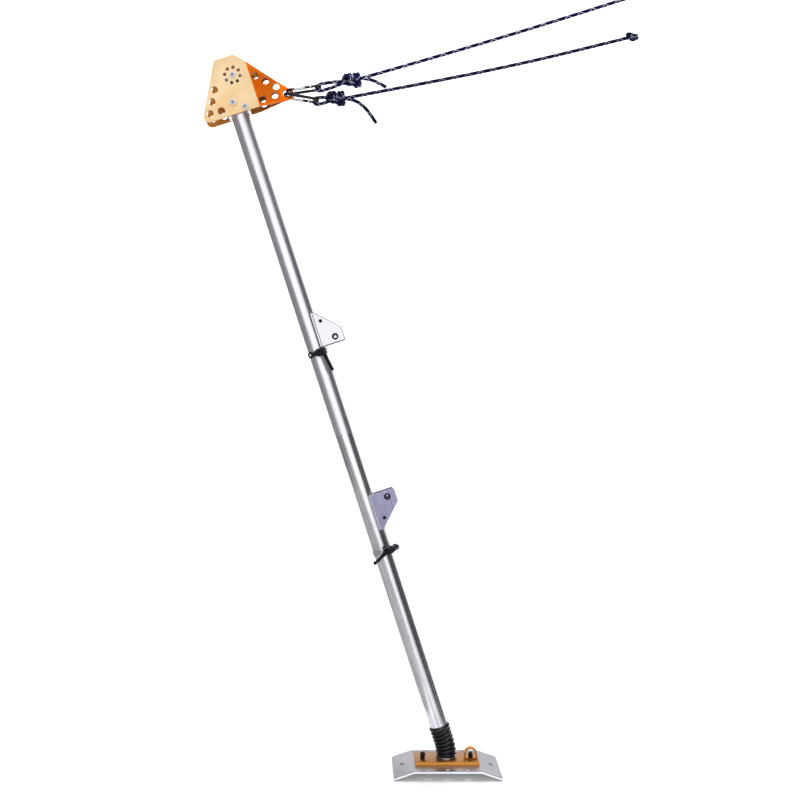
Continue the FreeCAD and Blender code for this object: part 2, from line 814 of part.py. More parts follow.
def head_plate(label, side):
    body = new_body(label + "_sheet")
    outline = sketch_on(body, label + "_outline", "XZ_Plane")
    trace(outline, [
        ("-head_left_foot", "head_inset"),
        ("head_right_foot", "head_inset"),
        ("head_right_top", "head_top"),
        ("-head_left_top", "head_top"),
    ])
    pad(body, outline, f"2 * {head_outer}")
    middle = value("(head_inset + head_top) / 2")
    reach = value("head_right_top")

    def corner_edges(low, left):
        def fits(edge):
            spot = edge.CenterOfMass
            below = spot.z < middle
            near_left = spot.x < 0 if low else abs(spot.x) < 2 * reach
            return runs_along(edge, Vector(0, 1, 0)) and below == low and near_left == left
        return edges_where(body, fits)

    dress(body, "Fillet", label + "_left_round", corner_edges(True, True), Radius="head_left_round")
    dress(body, "Fillet", label + "_tip_round", corner_edges(True, False), Radius="head_tip_round")
    dress(body, "Fillet", label + "_top_round", corner_edges(False, True), Radius="head_top_round")

    face = f"({side} * {head_outer})"
    inside = f"({side} * head_gap / 2)"
    lug_face = f"({side} * head_sheet)"
    bend_back = "(head_sheet * (head_gap / 2) / (head_lug - head_bend) / 2)"
    far = "(head_right_foot + overrun)"
    past = f"({side} * ({head_outer} + overrun))"
    shoulder = sketch_on(body, label + "_shoulder", "XY_Plane")
    trace(shoulder, [("head_bend", face), ("head_lug", lug_face), (far, lug_face), (far, past),
                     ("head_bend", past)])
    pocket(body, shoulder)
    hollow = sketch_on(body, label + "_hollow", "XY_Plane")
    back = f"(-{side} * ({head_outer} + overrun))"
    start = "(-head_left_foot - overrun)"
    trace(hollow, [(start, inside), (f"head_bend - {bend_back}", inside), (f"head_lug - {bend_back}", "0"),
                   (far, "0"), (far, back), (start, back)])
    pocket(body, hollow)

    holes = sketch_on(body, label + "_holes", "XZ_Plane")
    for reach_name, across_share, rise_share in tether_shares:
        add_circle(holes, f"{reach_name} * {across_share}", f"head_top * {rise_share}", "tether_hole / 2")
    for name, u, v in head_bolts_at + [axle_at]:
        add_circle(holes, u, v, "head_bolt / 2")
    add_circle(holes, "tip_across", "tip_rise", "tip_hole / 2")
    ring_count = 8
    for step in range(ring_count):
        turn = 360 * (step + 0.5) / ring_count
        add_circle(holes, f"axle_across + ring_radius * cos({turn})",
                   f"axle_rise + ring_radius * sin({turn})", "ring_hole / 2")
    pocket(body, holes)
    finish(label, on_pole(body, w=head_base))


def head_inside():
    plug = cylinder("block_plug", bore_radius, "block_plug_length", z="head_inset - block_plug_length")
    block = centred_box("block_body", "block_width", "head_gap", "block_height", z="head_inset")
    holes = [bolt_bar(name + "_block_hole", u, v, "head_gap + 2 * overrun", "head_gap / 2 + overrun")
             for name, u, v in head_bolts_at]
    finish("head_block", on_pole(cut("block", fuse("block_blank", plug, block), *holes), w=head_base))

    spot = {"x": "axle_across", "z": "axle_rise"}
    half = "sheave_width / 2"
    rim = cylinder("sheave_rim", "sheave_outer / 2", "sheave_width", y=f"-{half}", axis="y", **spot)
    groove = torus("sheave_rope_groove", "sheave_outer / 2 + sheave_groove_rise", "sheave_groove / 2",
                   axis="y", **spot)
    bore = cylinder("sheave_bore", "bearing_outer / 2", "sheave_width + 2 * overrun",
                    y=f"-{half} - overrun", axis="y", **spot)
    finish("sheave", on_pole(cut("sheave_wheel", rim, groove, bore), w=head_base))
    finish("sheave_bearing", on_pole(tube("bearing_ring", "bearing_outer / 2", "head_bolt / 2 + run_fit",
                                          "sheave_width", y=f"-{half}", axis="y", **spot), w=head_base))
    length = "head_gap / 2 - sheave_width / 2 - face_gap"
    spacers = [tube("front_spacer", "spacer_outer / 2", "head_bolt / 2", length, y="-head_gap / 2",
                    axis="y", **spot),
               tube("rear_spacer", "spacer_outer / 2", "head_bolt / 2", length,
                    y=f"{half} + face_gap", axis="y", **spot)]
    finish("axle_spacers", on_pole(group("spacer_pair", *spacers), w=head_base))


def bolt_bar(name, u, v, length, front):
    return cylinder(name, "head_bolt / 2", length, u, f"-({front})", v, "y")


def head_fasteners():
    def bolt(name, u, v):
        front = f"{head_outer} + bolt_head_height"
        shank = bolt_bar(name + "_shank", u, v, f"2 * {head_outer} + bolt_head_height + bolt_nut_height",
                         front)
        head = hexagon(name + "_head", "bolt_across", "bolt_head_height", u, f"-({front})", v, "y")
        return fuse(name + "_bolt", shank, head)

    def nut(name, u, v):
        prism = hexagon(name + "_nut_prism", "bolt_across", "bolt_nut_height", u, head_outer, v, "y")
        thread = cylinder(name + "_nut_thread", "head_bolt / 2", "bolt_nut_height + 2 * overrun", u,
                          f"{head_outer} - overrun", v, "y")
        return cut(name + "_nut", prism, thread)

    finish("sheave_axle", on_pole(bolt(*axle_at), w=head_base))
    pair = group("head_bolt_pair", *[bolt(*place) for place in head_bolts_at])
    finish("head_bolts", on_pole(pair, w=head_base))
    nuts = group("head_nut_set", *[nut(*place) for place in head_bolts_at + [axle_at]])
    finish("head_nuts", on_pole(nuts, w=head_base))


# Winch brackets: drawn from the open edge, with +Z towards the narrow end

def bracket(kind, edge, flip, direction):
    hood_outer = "(hood_inner / 2 + hood_sheet)"
    web_slope = "((hood_length - hood_edge) / (hood_reach - hood_neck))"
    web_rise = f"(hood_sheet * sqrt(1 + {web_slope} ^ 2))"
    cheek = f"(sqrt({slide_radius} ^ 2 - (hood_inner / 2) ^ 2) + free_gap)"
    body = new_body(kind + "_hood")
    outline = sketch_on(body, kind + "_hood_outline", "XZ_Plane")
    trace(outline, [(cheek, "0"), ("hood_reach", "0"), ("hood_reach", "hood_edge"),
                    ("hood_neck", "hood_length"), (cheek, "hood_length")])
    pad(body, outline, f"2 * {hood_outer}")
    inside = sketch_on(body, kind + "_hood_inside", "XZ_Plane")
    inner_reach = "(hood_reach - hood_sheet)"
    trace(inside, [("0", "-overrun"), (inner_reach, "-overrun"),
                   (inner_reach, f"hood_edge + hood_sheet * {web_slope} - {web_rise}"),
                   ("0", f"hood_edge + hood_reach * {web_slope} - {web_rise}")])
    pocket(body, inside, "hood_inner")
    holes = sketch_on(body, kind + "_hood_holes", "XZ_Plane")
    add_circle(holes, "pin_across", "pin_rise", "pin_bush_outer / 2")
    add_circle(holes, "rivet_across", "rivet_rise", "rivet_shank / 2")
    pocket(body, holes)
    seat = common(
        kind + "_hood_seat",
        cylinder(kind + "_seat_round", band_radius, "hood_length + 2 * overrun", z="-overrun"),
        centred_box(kind + "_seat_width", f"2 * {band_radius}", "hood_inner", "hood_length + 2 * overrun",
                    z="-overrun"),
    )
    finish(kind + "_bracket_shell", on_pole(cut(kind + "_hood_cut", body, seat), w=edge, flip=flip))

    bushes = []
    for name, side in (("front", "-1"), ("rear", "1")):
        name = f"{kind}_{name}_bush"
        sleeve_low = "hood_inner / 2" if side == "1" else f"-{hood_outer} - pin_flange_thickness"
        flange_low = hood_outer if side == "1" else f"-{hood_outer} - pin_flange_thickness"
        long = "hood_sheet + pin_flange_thickness"
        blank = fuse(
            name + "_blank",
            cylinder(name + "_sleeve", "pin_bush_outer / 2", long, "pin_across", sleeve_low,
                     "pin_rise", "y"),
            cylinder(name + "_flange", "pin_bush_flange / 2", "pin_flange_thickness", "pin_across",
                     flange_low, "pin_rise", "y"),
        )
        bore = cylinder(name + "_bore", "pin_bore / 2", f"{long} + 2 * overrun", "pin_across",
                        f"{sleeve_low} - overrun", "pin_rise", "y")
        bushes.append(cut(name, blank, bore))
    finish(kind + "_pin_bushes", on_pole(group(kind + "_bush_pair", *bushes), w=edge, flip=flip))

    rivet = fuse(
        kind + "_rivet_bar",
        cylinder(kind + "_rivet_shank", "rivet_shank / 2", f"2 * {hood_outer}", "rivet_across",
                 f"-{hood_outer}", "rivet_rise", "y"),
        cylinder(kind + "_rivet_front", "rivet_head / 2", "rivet_head_height", "rivet_across",
                 f"-{hood_outer} - rivet_head_height", "rivet_rise", "y"),
        cylinder(kind + "_rivet_rear", "rivet_head / 2", "rivet_head_height", "rivet_across",
                 hood_outer, "rivet_rise", "y"),
    )
    finish(kind + "_bracket_rivet", on_pole(rivet, w=edge, flip=flip))

    offset = f"{kind}_band_offset"
    if direction == "down":
        strap_low, strap_high = f"({offset} + band_height / 2)", "0"
        shell_low, shell_high = strap_low, "hood_length"
    else:
        strap_low, strap_high = "hood_length", f"({offset} - band_height / 2)"
        shell_low, shell_high = "0", strap_high
    shell = tube(kind + "_saddle_pipe", band_radius, slide_radius, f"{shell_high} - {shell_low}",
                 z=shell_low)
    wide = box(kind + "_saddle_width", band_radius, "hood_inner", "hood_length", "0", "-hood_inner / 2", "0")
    narrow = box(kind + "_strap_width", band_radius, "strap_width", f"{strap_high} - {strap_low}", "0",
                 "-strap_width / 2", strap_low)
    saddle = common(kind + "_saddle_strip", shell, fuse(kind + "_saddle_cutter", wide, narrow))
    finish(kind + "_saddle", on_pole(saddle, w=edge, flip=flip))


# Clamps: drawn with the ears along +X and the lever towards +Y

def clamp(kind, edge, sign, flip):
    spot = {"w": f"{edge} {sign} {kind}_band_offset", "spin": f"{kind}_clamp_turn", "flip": flip}
    half = "(band_height / 2)"
    ear_inside = "(band_slot / 2)"
    ear_outside = "(band_slot / 2 + band_ear_thickness)"
    ring = tube(kind + "_band_ring", band_radius, slide_radius, "band_height", z=f"-{half}")
    slot = box(kind + "_band_slot_cut", "band_ear_end", "band_slot", "band_height + 2 * overrun",
               "0", f"-{ear_inside}", f"-{half} - overrun")
    ears = []
    for name, low in (("far", f"-{ear_outside}"), ("near", ear_inside)):
        start = f"({tube_radius} + free_gap + band_thickness / 2)"
        ears.append(box(f"{kind}_{name}_ear", f"band_ear_end - {start}", "band_ear_thickness", "band_height",
                        start, low, f"-{half}"))
    hole = cylinder(kind + "_ear_hole", "clamp_screw / 2", f"2 * {ear_outside} + 2 * overrun",
                    "clamp_screw_reach", f"-{ear_outside} - overrun", "0", "y")
    open_ring = cut(kind + "_open_ring", ring, slot)
    band = cut(kind + "_band", fuse(kind + "_band_blank", open_ring, *ears), hole)
    finish(kind + "_clamp_band", on_pole(band, **spot))

    hub_start = f"({ear_outside} + face_gap)"
    head_low = f"-{ear_outside} - clamp_head_height"
    screw = fuse(
        kind + "_screw_bar",
        cylinder(kind + "_screw_shank", "clamp_screw / 2",
                 f"{ear_outside} + {hub_start} + lever_thread + clamp_head_height",
                 "clamp_screw_reach", head_low, "0", "y"),
        cylinder(kind + "_screw_head", "clamp_head / 2", "clamp_head_height", "clamp_screw_reach",
                 head_low, "0", "y"),
    )
    finish(kind + "_clamp_screw", on_pole(screw, **spot))

    hub = cylinder(kind + "_lever_hub", "lever_hub / 2", "lever_hub_length", y=hub_start, axis="y")
    arm = cone(kind + "_lever_arm", "lever_thick_end / 2", "lever_thin_end / 2", "lever_arm")
    tilt = "rotation(vector(1; 0; 0); 180 + lever_splay)"
    put(arm, y="lever_root", turn=tilt)
    tip = ball(kind + "_lever_tip", "lever_tip_ball / 2", y="lever_root + lever_arm * sin(lever_splay)",
               z="-lever_arm * cos(lever_splay)")
    bore = cylinder(kind + "_lever_bore", "clamp_screw / 2 + run_fit", "lever_thread + face_gap + overrun",
                    y=f"{hub_start} - overrun", axis="y")
    lever = cut(kind + "_lever", fuse(kind + "_lever_blank", hub, arm, tip), bore)
    put(lever, "clamp_screw_reach", turn=f"rotation(vector(0; 1; 0); {kind}_lever_turn)")
    carried = group(kind + "_lever_on_clamp", lever)
    finish(kind + "_clamp_lever", on_pole(carried, **spot))


# Guy lines: drawn from the centre of the tip hole, routes in millimetres along X, Y and Z

upper_bight = [(190, 6.5, 40), (158, 4, 39), (124, 1, 34), (94.9, 0, 28), (94.9, 0, 6.8), (124, -1, 12),
               (158, -4, 24), (190, -6.5, 36)]
upper_rope = [(232, 0, 47.6), (470.7, 0, 115.8), (697.2, 0, 182.9), (924.2, 0, 253.1), (1142.2, 0, 322.8)]
upper_tail = [(226, -12, 46), (258, -12.8, 43.5), (288, -14, 31.5), (313, -16, 16)]
lower_bight = [(150, 6.5, -12), (130, 4.5, -10.5), (110, 1.5, -11.7), (87.4, 0, -13.1), (87.4, 0, -34.3),
               (110, -1.5, -32.7), (130, -4.5, -26.5), (150, -6.5, -19)]
lower_rope = [(182, 0, -14.4), (414.2, 0, 28.8), (642.2, 0, 73.8), (867.2, 0, 123.8), (1086.2, 0, 178.8)]
lower_tail = [(174, -11, -17), (210, -11.5, -21), (238, -12, -38), (262, -12.5, -64), (282, -13, -96)]
upper_knot_at = (213.3, 0, 40.6)
lower_knot_at = (162.6, 0, -16.5)


def at_tip(item, across="0", rise="0", tilt="0"):
    east = f"tip_across * cos(lean_angle) - ({head_base} + tip_rise) * sin(lean_angle) + ({across})"
    up = f"{pivot} + tip_across * sin(lean_angle) + ({head_base} + tip_rise) * cos(lean_angle) + ({rise})"
    return put(item, east, "0", up, f"rotation(vector(0; 1; 0); -({tilt}))")


def carabiner(kind, side):
    bar = {"across": f"{kind}_bar_across", "rise": f"{kind}_bar_rise", "tilt": f"{kind}_carabiner_tilt"}
    length = value(rod_line)
    half = value(rod_half) * side
    nose = value("gate_nose - gate_clearance")
    hinge_end = value("gate_hinge + gate_rod / 2 + gate_clearance")
    path = [Vector(nose, half, 0), Vector(0, half, 0), Vector(0, -half, 0), Vector(length, -half, 0),
            Vector(length, half, 0), Vector(hinge_end, half, 0)]
    corners = [value("carabiner_corner")] * (len(path) - 2)
    rod = shaped(kind + "_carabiner_rod", pipe_along(kind + "_carabiner", path, corners,
                                                     value("carabiner_rod / 2")))
    gate_line = f"({side} * {rod_half})"
    tongue = box(kind + "_tongue", "tongue_reach + gate_rod / 2 + 2 * gate_clearance", "tongue_width",
                 "tongue_thickness", "gate_hinge - tongue_reach", f"{gate_line} - tongue_width / 2",
                 "-tongue_thickness / 2")
    pin = {"x": "gate_hinge", "y": gate_line}
    hole = cylinder(kind + "_tongue_hole", "gate_pin / 2", "tongue_thickness + 2 * overrun",
                    z="-tongue_thickness / 2 - overrun", **pin)
    frame = cut(kind + "_carabiner_frame", fuse(kind + "_carabiner_blank", rod, tongue), hole)
    finish(kind + "_carabiner", at_tip(frame, **bar))
    rivet = cylinder(kind + "_gate_rivet", "gate_pin / 2", "gate_pin_length",
                     z="-gate_pin_length / 2", **pin)
    finish(kind + "_gate_pin", at_tip(group(kind + "_gate_rivet_set", rivet), **bar))

    stick = fuse(
        kind + "_gate_stick",
        cylinder(kind + "_gate_bar", "gate_rod / 2", "gate_hinge - gate_nose", "gate_nose", gate_line,
                 axis="x"),
        ball(kind + "_gate_round", "gate_rod / 2", **pin),
    )
    slot = centred_box(kind + "_gate_slot", "2 * gate_rod + 4 * tongue_reach", "2 * gate_rod",
                       "tongue_thickness + 2 * gate_clearance", z="-tongue_thickness / 2 - gate_clearance",
                       x="gate_hinge + gate_rod - gate_clearance", y=gate_line)
    pin_hole = cylinder(kind + "_gate_hole", "gate_pin / 2 + run_fit", "gate_pin_length + 2 * overrun",
                        z="-gate_pin_length / 2 - overrun", **pin)
    finish(kind + "_gate", at_tip(cut(kind + "_gate_cut", stick, slot, pin_hole), **bar))
    sleeve = tube(kind + "_sleeve_pipe", "sleeve_outer / 2", "gate_rod / 2 + run_fit", "sleeve_length",
                  "sleeve_start", gate_line, axis="x")
    finish(kind + "_sleeve", at_tip(sleeve, **bar))


def guy(kind, bight, rope, tail, knot_at):
    rope_radius = value("rope / 2")
    loop_radius = value("carabiner_rod / 2 + rope / 2 + free_gap")
    points = [Vector(*point) for point in bight]
    radii = [bend_radius(*points[index:index + 3]) for index in range(len(points) - 2)]
    turn = len(points) // 2
    radii[turn - 2] = radii[turn - 1] = loop_radius
    strand = shaped(kind + "_bight", pipe_along(kind + "_bight", points, radii, rope_radius))
    x, y, z = [str(number) for number in knot_at]
    lump = ellipsoid(kind + "_knot_lump", "knot_length / 2", f"{kind}_knot_depth / 2",
                     f"{kind}_knot_height / 2", x, y, z)
    finish(kind + "_knot", at_tip(fuse(kind + "_knot_blank", lump, strand)))
    finish(kind + "_rope", at_tip(shaped(kind + "_standing", free_rope(kind + "_rope", rope, rope_radius))))
    finish(kind + "_tail", at_tip(shaped(kind + "_short_end", free_rope(kind + "_tail", tail, rope_radius))))
    end = ellipsoid(kind + "_end_lump", "end_knot_length / 2", "end_knot_width / 2", "end_knot_width / 2")
    finish(kind + "_end_knot", at_tip(end, across=str(rope[-1][0]), rise=str(rope[-1][2])))


foot_plate()
base_plate()
foot_fittings()
swivel()
joint_bushes("yoke_bushes", "x")
joint_bushes("fork_bushes", "y")
cross()
pole_fork()
rubber_boot()
pole_tubes()
head_plate("front_plate", "-1")
head_plate("rear_plate", "1")
head_inside()
head_fasteners()
bracket("upper", upper_bracket_edge, "0", "down")
bracket("lower", lower_bracket_edge, "180", "up")
clamp("upper", upper_bracket_edge, "+", "0")
clamp("lower", lower_bracket_edge, "-", "180")
carabiner("upper", -1)
carabiner("lower", 1)
guy("upper", upper_bight, upper_rope, upper_tail, upper_knot_at)
guy("lower", lower_bight, lower_rope, lower_tail, lower_knot_at)
doc.recompute()

for item in doc.Objects:
    if "Invalid" in item.State or "Error" in item.State:
        raise RuntimeError(f"{item.Name} failed: {item.State}")
for label, item in finished.items():
    if item.Shape.isNull() or not item.Shape.isValid():
        raise RuntimeError(f"{label} has no valid shape")

os.makedirs("parts", exist_ok=True)
for label, item in finished.items():
    item.Shape.exportStep(f"parts/{label}.step")
print(f"wrote {len(finished)} parts")
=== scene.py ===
import json
import math

import bmesh
import bpy
from mathutils import Matrix, Vector


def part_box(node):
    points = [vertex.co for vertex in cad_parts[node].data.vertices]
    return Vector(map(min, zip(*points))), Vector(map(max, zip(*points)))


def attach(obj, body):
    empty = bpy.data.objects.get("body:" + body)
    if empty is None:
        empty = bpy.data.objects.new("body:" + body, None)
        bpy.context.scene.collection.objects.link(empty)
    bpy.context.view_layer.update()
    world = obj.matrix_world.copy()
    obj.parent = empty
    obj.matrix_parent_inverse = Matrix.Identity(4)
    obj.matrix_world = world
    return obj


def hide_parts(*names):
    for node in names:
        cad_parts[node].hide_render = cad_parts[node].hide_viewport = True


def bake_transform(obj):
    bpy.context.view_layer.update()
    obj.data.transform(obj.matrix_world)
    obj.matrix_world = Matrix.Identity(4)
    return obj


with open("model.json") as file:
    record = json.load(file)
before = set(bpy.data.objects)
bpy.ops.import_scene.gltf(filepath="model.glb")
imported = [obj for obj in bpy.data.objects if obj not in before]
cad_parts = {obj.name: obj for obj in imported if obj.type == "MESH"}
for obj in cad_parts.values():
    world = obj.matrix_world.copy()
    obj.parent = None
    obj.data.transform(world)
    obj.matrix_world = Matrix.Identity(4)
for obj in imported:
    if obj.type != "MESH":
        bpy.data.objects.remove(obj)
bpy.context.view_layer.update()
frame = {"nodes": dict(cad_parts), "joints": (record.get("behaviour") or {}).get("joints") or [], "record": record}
print("frame loaded:", len(frame["nodes"]), "nodes")

# places read from the frame
joints = {joint["name"]: joint for joint in frame["joints"]}
bodyOf = {node: body for body, nodes in frame["record"]["behaviour"]["bodies"].items() for node in nodes}
slotOf = {row["node"]: row["material_slot"] for row in frame["record"]["subparts"]}
mm = 0.001
pivot = Vector(joints["pole_lean"]["pos_m"])
poleUp = Vector(joints["section_pull"]["axis"]).normalized()
poleAcross = Vector((poleUp.z, 0, -poleUp.x))
leanAngle = math.atan2(-poleUp.x, poleUp.z)
guyHang = Vector((3, 0, 5)) * mm  # from the middle of the tip hole to where the upper guy turns
tipHole = Vector(joints["upper_guy_swing"]["pos_m"]) - guyHang
kinds = ("upper", "lower")  # brackets, clamps and guys come in pairs


def jointPlace(name):
    return Vector(joints[name]["pos_m"]), Vector(joints[name]["axis"]).normalized()


def fromTip(point):
    return tipHole + Vector(point) * mm


# camera and studio

camera = {"place": (-0.271, -3.3, 1.2532), "lens": 47.15, "sensor": 36.0, "shift": (0.05, -0.035),
          "clipEnd": 60}
studio = {
    "backdropY": 3.2, "frontY": -7.0, "halfWidth": 9.0, "height": 7.0, "sweepRadius": 1.6, "sweepSteps": 12,
    "paper": (0.93, 0.93, 0.93, 1), "paperRough": 0.9, "paperGlow": 0.12, "farGlow": 0.62, "glowFrom": 2.4,
    "glowTo": 6.0, "airTint": (0.95, 0.97, 1.0, 1), "airLight": 0.25,
}
white = (1, 1, 1, 1)
black = (0, 0, 0, 1)
lamps = {
    "frontBox": {"place": (-0.2, -5.0, 2.2), "aim": (-0.2, 0, 1.1), "size": (7.4, 4.4), "power": 118},
    "topBox": {"place": (0.0, 0.2, 4.6), "aim": (-0.1, 0, 0.6), "size": (3.2, 2.6), "power": 120},
    "backBox": {"place": (0.2, 1.4, 4.4), "aim": (0.0, 3.2, 1.4), "size": (6.0, 1.2), "power": 55},
}
# grey cards beside the set, seen only in reflections
cards = {
    "leftCard": {"line": ((-2.3, -1.9, -0.02), (-2.3, 2.6, -0.02)), "pull": (0, 0, 4.2), "glow": 0.26},
    "rightCard": {"line": ((2.3, -2.1, -0.02), (2.3, 1.7, -0.02)), "pull": (0, 0, 4.2), "glow": 0.10},
    "floorCard": {"line": ((-4.0, -4.6, 0.003), (-4.0, 2.6, 0.003)), "pull": (3.7, 0, 0), "glow": 0.50},
}


def aimAt(thing, target):
    direction = Vector(target) - thing.location
    thing.rotation_euler = direction.to_track_quat("-Z", "Y").to_euler()


def pullSheet(name, line, pull):
    # a sheet of the stage, pulled from a line of points
    bm = bmesh.new()
    verts = [bm.verts.new(point) for point in line]
    edges = [bm.edges.new(pair) for pair in zip(verts, verts[1:])]
    pulled = bmesh.ops.extrude_edge_only(bm, edges=edges)["geom"]
    moved = [part for part in pulled if isinstance(part, bmesh.types.BMVert)]
    bmesh.ops.translate(bm, verts=moved, vec=pull)
    bmesh.ops.recalc_face_normals(bm, faces=bm.faces)
    return meshObject(name, bm)


def placeCamera():
    lens = bpy.data.cameras.new("photoCamera")
    lens.lens = camera["lens"]
    lens.sensor_width = camera["sensor"]
    lens.shift_x, lens.shift_y = camera["shift"]
    lens.clip_end = camera["clipEnd"]
    viewer = bpy.data.objects.new("photoCamera", lens)
    viewer.location = camera["place"]
    viewer.rotation_euler = (math.pi / 2, 0, 0)
    bpy.context.scene.collection.objects.link(viewer)
    bpy.context.scene.camera = viewer


def studioPaper():
    paper, nodes, links, shader = newMaterial("studioPaper")
    shader.inputs["Base Color"].default_value = studio["paper"]
    shader.inputs["Roughness"].default_value = studio["paperRough"]
    shader.inputs["Emission Color"].default_value = white
    # far from the lamps the paper still shows pale, without lighting the object
    place = nodes.new("ShaderNodeTexCoord")
    reach = nodes.new("ShaderNodeVectorMath")
    reach.operation = "LENGTH"
    links.new(place.outputs["Object"], reach.inputs[0])
    far = ranged(nodes, links, reach.outputs["Value"], 0, studio["farGlow"], studio["glowFrom"],
                 studio["glowTo"], True)
    seen = nodes.new("ShaderNodeLightPath").outputs["Is Camera Ray"]
    glow = mathNode(nodes, links, "ADD", mathNode(nodes, links, "MULTIPLY", far, seen), studio["paperGlow"])
    links.new(glow, shader.inputs["Emission Strength"])
    return paper


def buildSweep():
    bend = studio["sweepRadius"]
    corner = studio["backdropY"] - bend
    profile = [(studio["frontY"], 0)]
    for step in range(studio["sweepSteps"] + 1):
        turn = math.pi / 2 * step / studio["sweepSteps"]
        profile.append((corner + bend * math.sin(turn), bend - bend * math.cos(turn)))
    profile.append((studio["backdropY"], studio["height"]))
    line = [(-studio["halfWidth"], y, z) for y, z in profile]
    sweep = pullSheet("studioSweep", line, (2 * studio["halfWidth"], 0, 0))
    sweep.data.polygons.foreach_set("use_smooth", [True] * len(sweep.data.polygons))
    sweep.data.materials.append(studioPaper())


def hangLamps():
    for name, lamp in lamps.items():
        light = bpy.data.lights.new(name, "AREA")
        light.shape = "RECTANGLE"
        light.size, light.size_y = lamp["size"]
        light.energy = lamp["power"]
        holder = bpy.data.objects.new(name, light)
        holder.location = lamp["place"]
        aimAt(holder, lamp["aim"])
        holder.visible_camera = False
        bpy.context.scene.collection.objects.link(holder)


def standCards():
    for name, card in cards.items():
        board = pullSheet(name, card["line"], card["pull"])
        grey, _, _, shader = newMaterial(name + "Paint")
        shader.inputs["Base Color"].default_value = black
        shader.inputs["Specular IOR Level"].default_value = 0
        shader.inputs["Emission Color"].default_value = white
        shader.inputs["Emission Strength"].default_value = card["glow"]
        board.data.materials.append(grey)
        board.visible_camera = False
        board.visible_diffuse = False
        board.visible_shadow = False


def fillAir():
    # the air lights the set softly, and past the sweep it shows as pale as the paper
    world = bpy.data.worlds.new("studioAir")
    world.use_nodes = True
    air, links = world.node_tree.nodes, world.node_tree.links
    air["Background"].inputs["Color"].default_value = studio["airTint"]
    air["Background"].inputs["Strength"].default_value = studio["airLight"]
    pale = addNode(air, "ShaderNodeBackground", Color=white, Strength=1.0)
    path = air.new("ShaderNodeLightPath")
    either = air.new("ShaderNodeMixShader")
    links.new(path.outputs["Is Camera Ray"], either.inputs["Fac"])
    links.new(air["Background"].outputs["Background"], either.inputs[1])
    links.new(pale.outputs["Background"], either.inputs[2])
    links.new(either.outputs["Shader"], air["World Output"].inputs["Surface"])
    bpy.context.scene.world = world


def buildStudio():
    placeCamera()
    buildSweep()
    hangLamps()
    standCards()
    fillAir()
    bpy.context.scene.view_settings.view_transform = "Standard"
    print("studio built")


# mesh helpers

mergeGap = {"turned": 0.01, "cad": 0.002}  # vertices closer than this are one, in millimetres


def meshObject(name, bm):
    mesh = bpy.data.meshes.new(name)
    bm.to_mesh(mesh)
    bm.free()
    thing = bpy.data.objects.new(name, mesh)
    bpy.context.scene.collection.objects.link(thing)
    return thing


def shadeSmooth(thing, angle=40):
    thing.data.polygons.foreach_set("use_smooth", [True] * len(thing.data.polygons))
    thing.data.set_sharp_from_angle(angle=math.radians(angle))


def settle(thing, body, material, slot, *nodes):
    thing.data.materials.clear()
    thing.data.materials.append(material)
    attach(thing, body)
    if nodes:
        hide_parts(*nodes)
    return thing


def frameMatrix(origin, xAxis, yAxis, zAxis):
    columns = Matrix((xAxis, yAxis, zAxis)).transposed().to_4x4()
    return Matrix.Translation(origin) @ columns


def lathe(name, profile, origin, axis, steps=48, flutes=None):
    # profile rows are (radius, distance along the axis) in millimetres
    bm = bmesh.new()
    verts = [bm.verts.new((radius * mm, 0, along * mm)) for radius, along in profile]
    edges = [bm.edges.new(pair) for pair in zip(verts, verts[1:])]
    bmesh.ops.spin(bm, geom=verts + edges, cent=(0, 0, 0), axis=(0, 0, 1), angle=2 * math.pi,
                   steps=steps, use_merge=True)
    bmesh.ops.remove_doubles(bm, verts=bm.verts, dist=mergeGap["turned"] * mm)
    if flutes:
        low, high, depth, count = flutes
        for vert in bm.verts:
            if low * mm < vert.co.z < high * mm:
                turn = math.atan2(vert.co.y, vert.co.x) * count
                share = 1 - depth * (0.5 - 0.5 * math.cos(turn))
                vert.co.x *= share
                vert.co.y *= share
    bmesh.ops.recalc_face_normals(bm, faces=bm.faces)
    turned = Vector((0, 0, 1)).rotation_difference(Vector(axis)).to_matrix().to_4x4()
    bmesh.ops.transform(bm, matrix=Matrix.Translation(origin) @ turned, verts=bm.verts)
    piece = meshObject(name, bm)
    shadeSmooth(piece)
    return piece


# width in millimetres of a painted dark outline, painted shade inset round the broad faces of a sheet
paintedOutlineWidth = {"upper_bracket_shell": 1.8, "base_plate": 1.0, "foot_plate": 0.9}
# plates whose cut edges and hidden faces are finished apart from the broad faces, with painted highlight or
# painted shade
broadFaces = {"foot_plate": (0, 0, 1), "base_plate": (0, 0, 1), "foot_eye": (0, 1, 0),
              "front_plate": (0, 1, 0), "rear_plate": (0, -1, 0),
              "upper_bracket_shell": (0, 1, 0), "lower_bracket_shell": (0, 1, 0)}
# how squarely a face has to look along its plate's way to count, or how little for a cut edge
facing = {"border": 0.6, "inside": 0.5, "rim": 0.35}
# angles in degrees: coplanar faces, smooth shading, edges that get broken
breaking = {"flat": 0.3, "smooth": 35, "sharp": 40, "segments": 2}


def markRims(mesh, way):
    # rim is 1 on cut edges; inside is 1 on faces that look along way
    rims = [1.0 if abs(face.normal.dot(way)) < facing["rim"] else 0.0 for face in mesh.polygons]
    hidden = [1.0 if face.normal.dot(way) > facing["inside"] else 0.0 for face in mesh.polygons]
    for name, values in (("rim", rims), ("inside", hidden)):
        mesh.attributes.new(name, "FLOAT", "FACE").data.foreach_set("value", values)


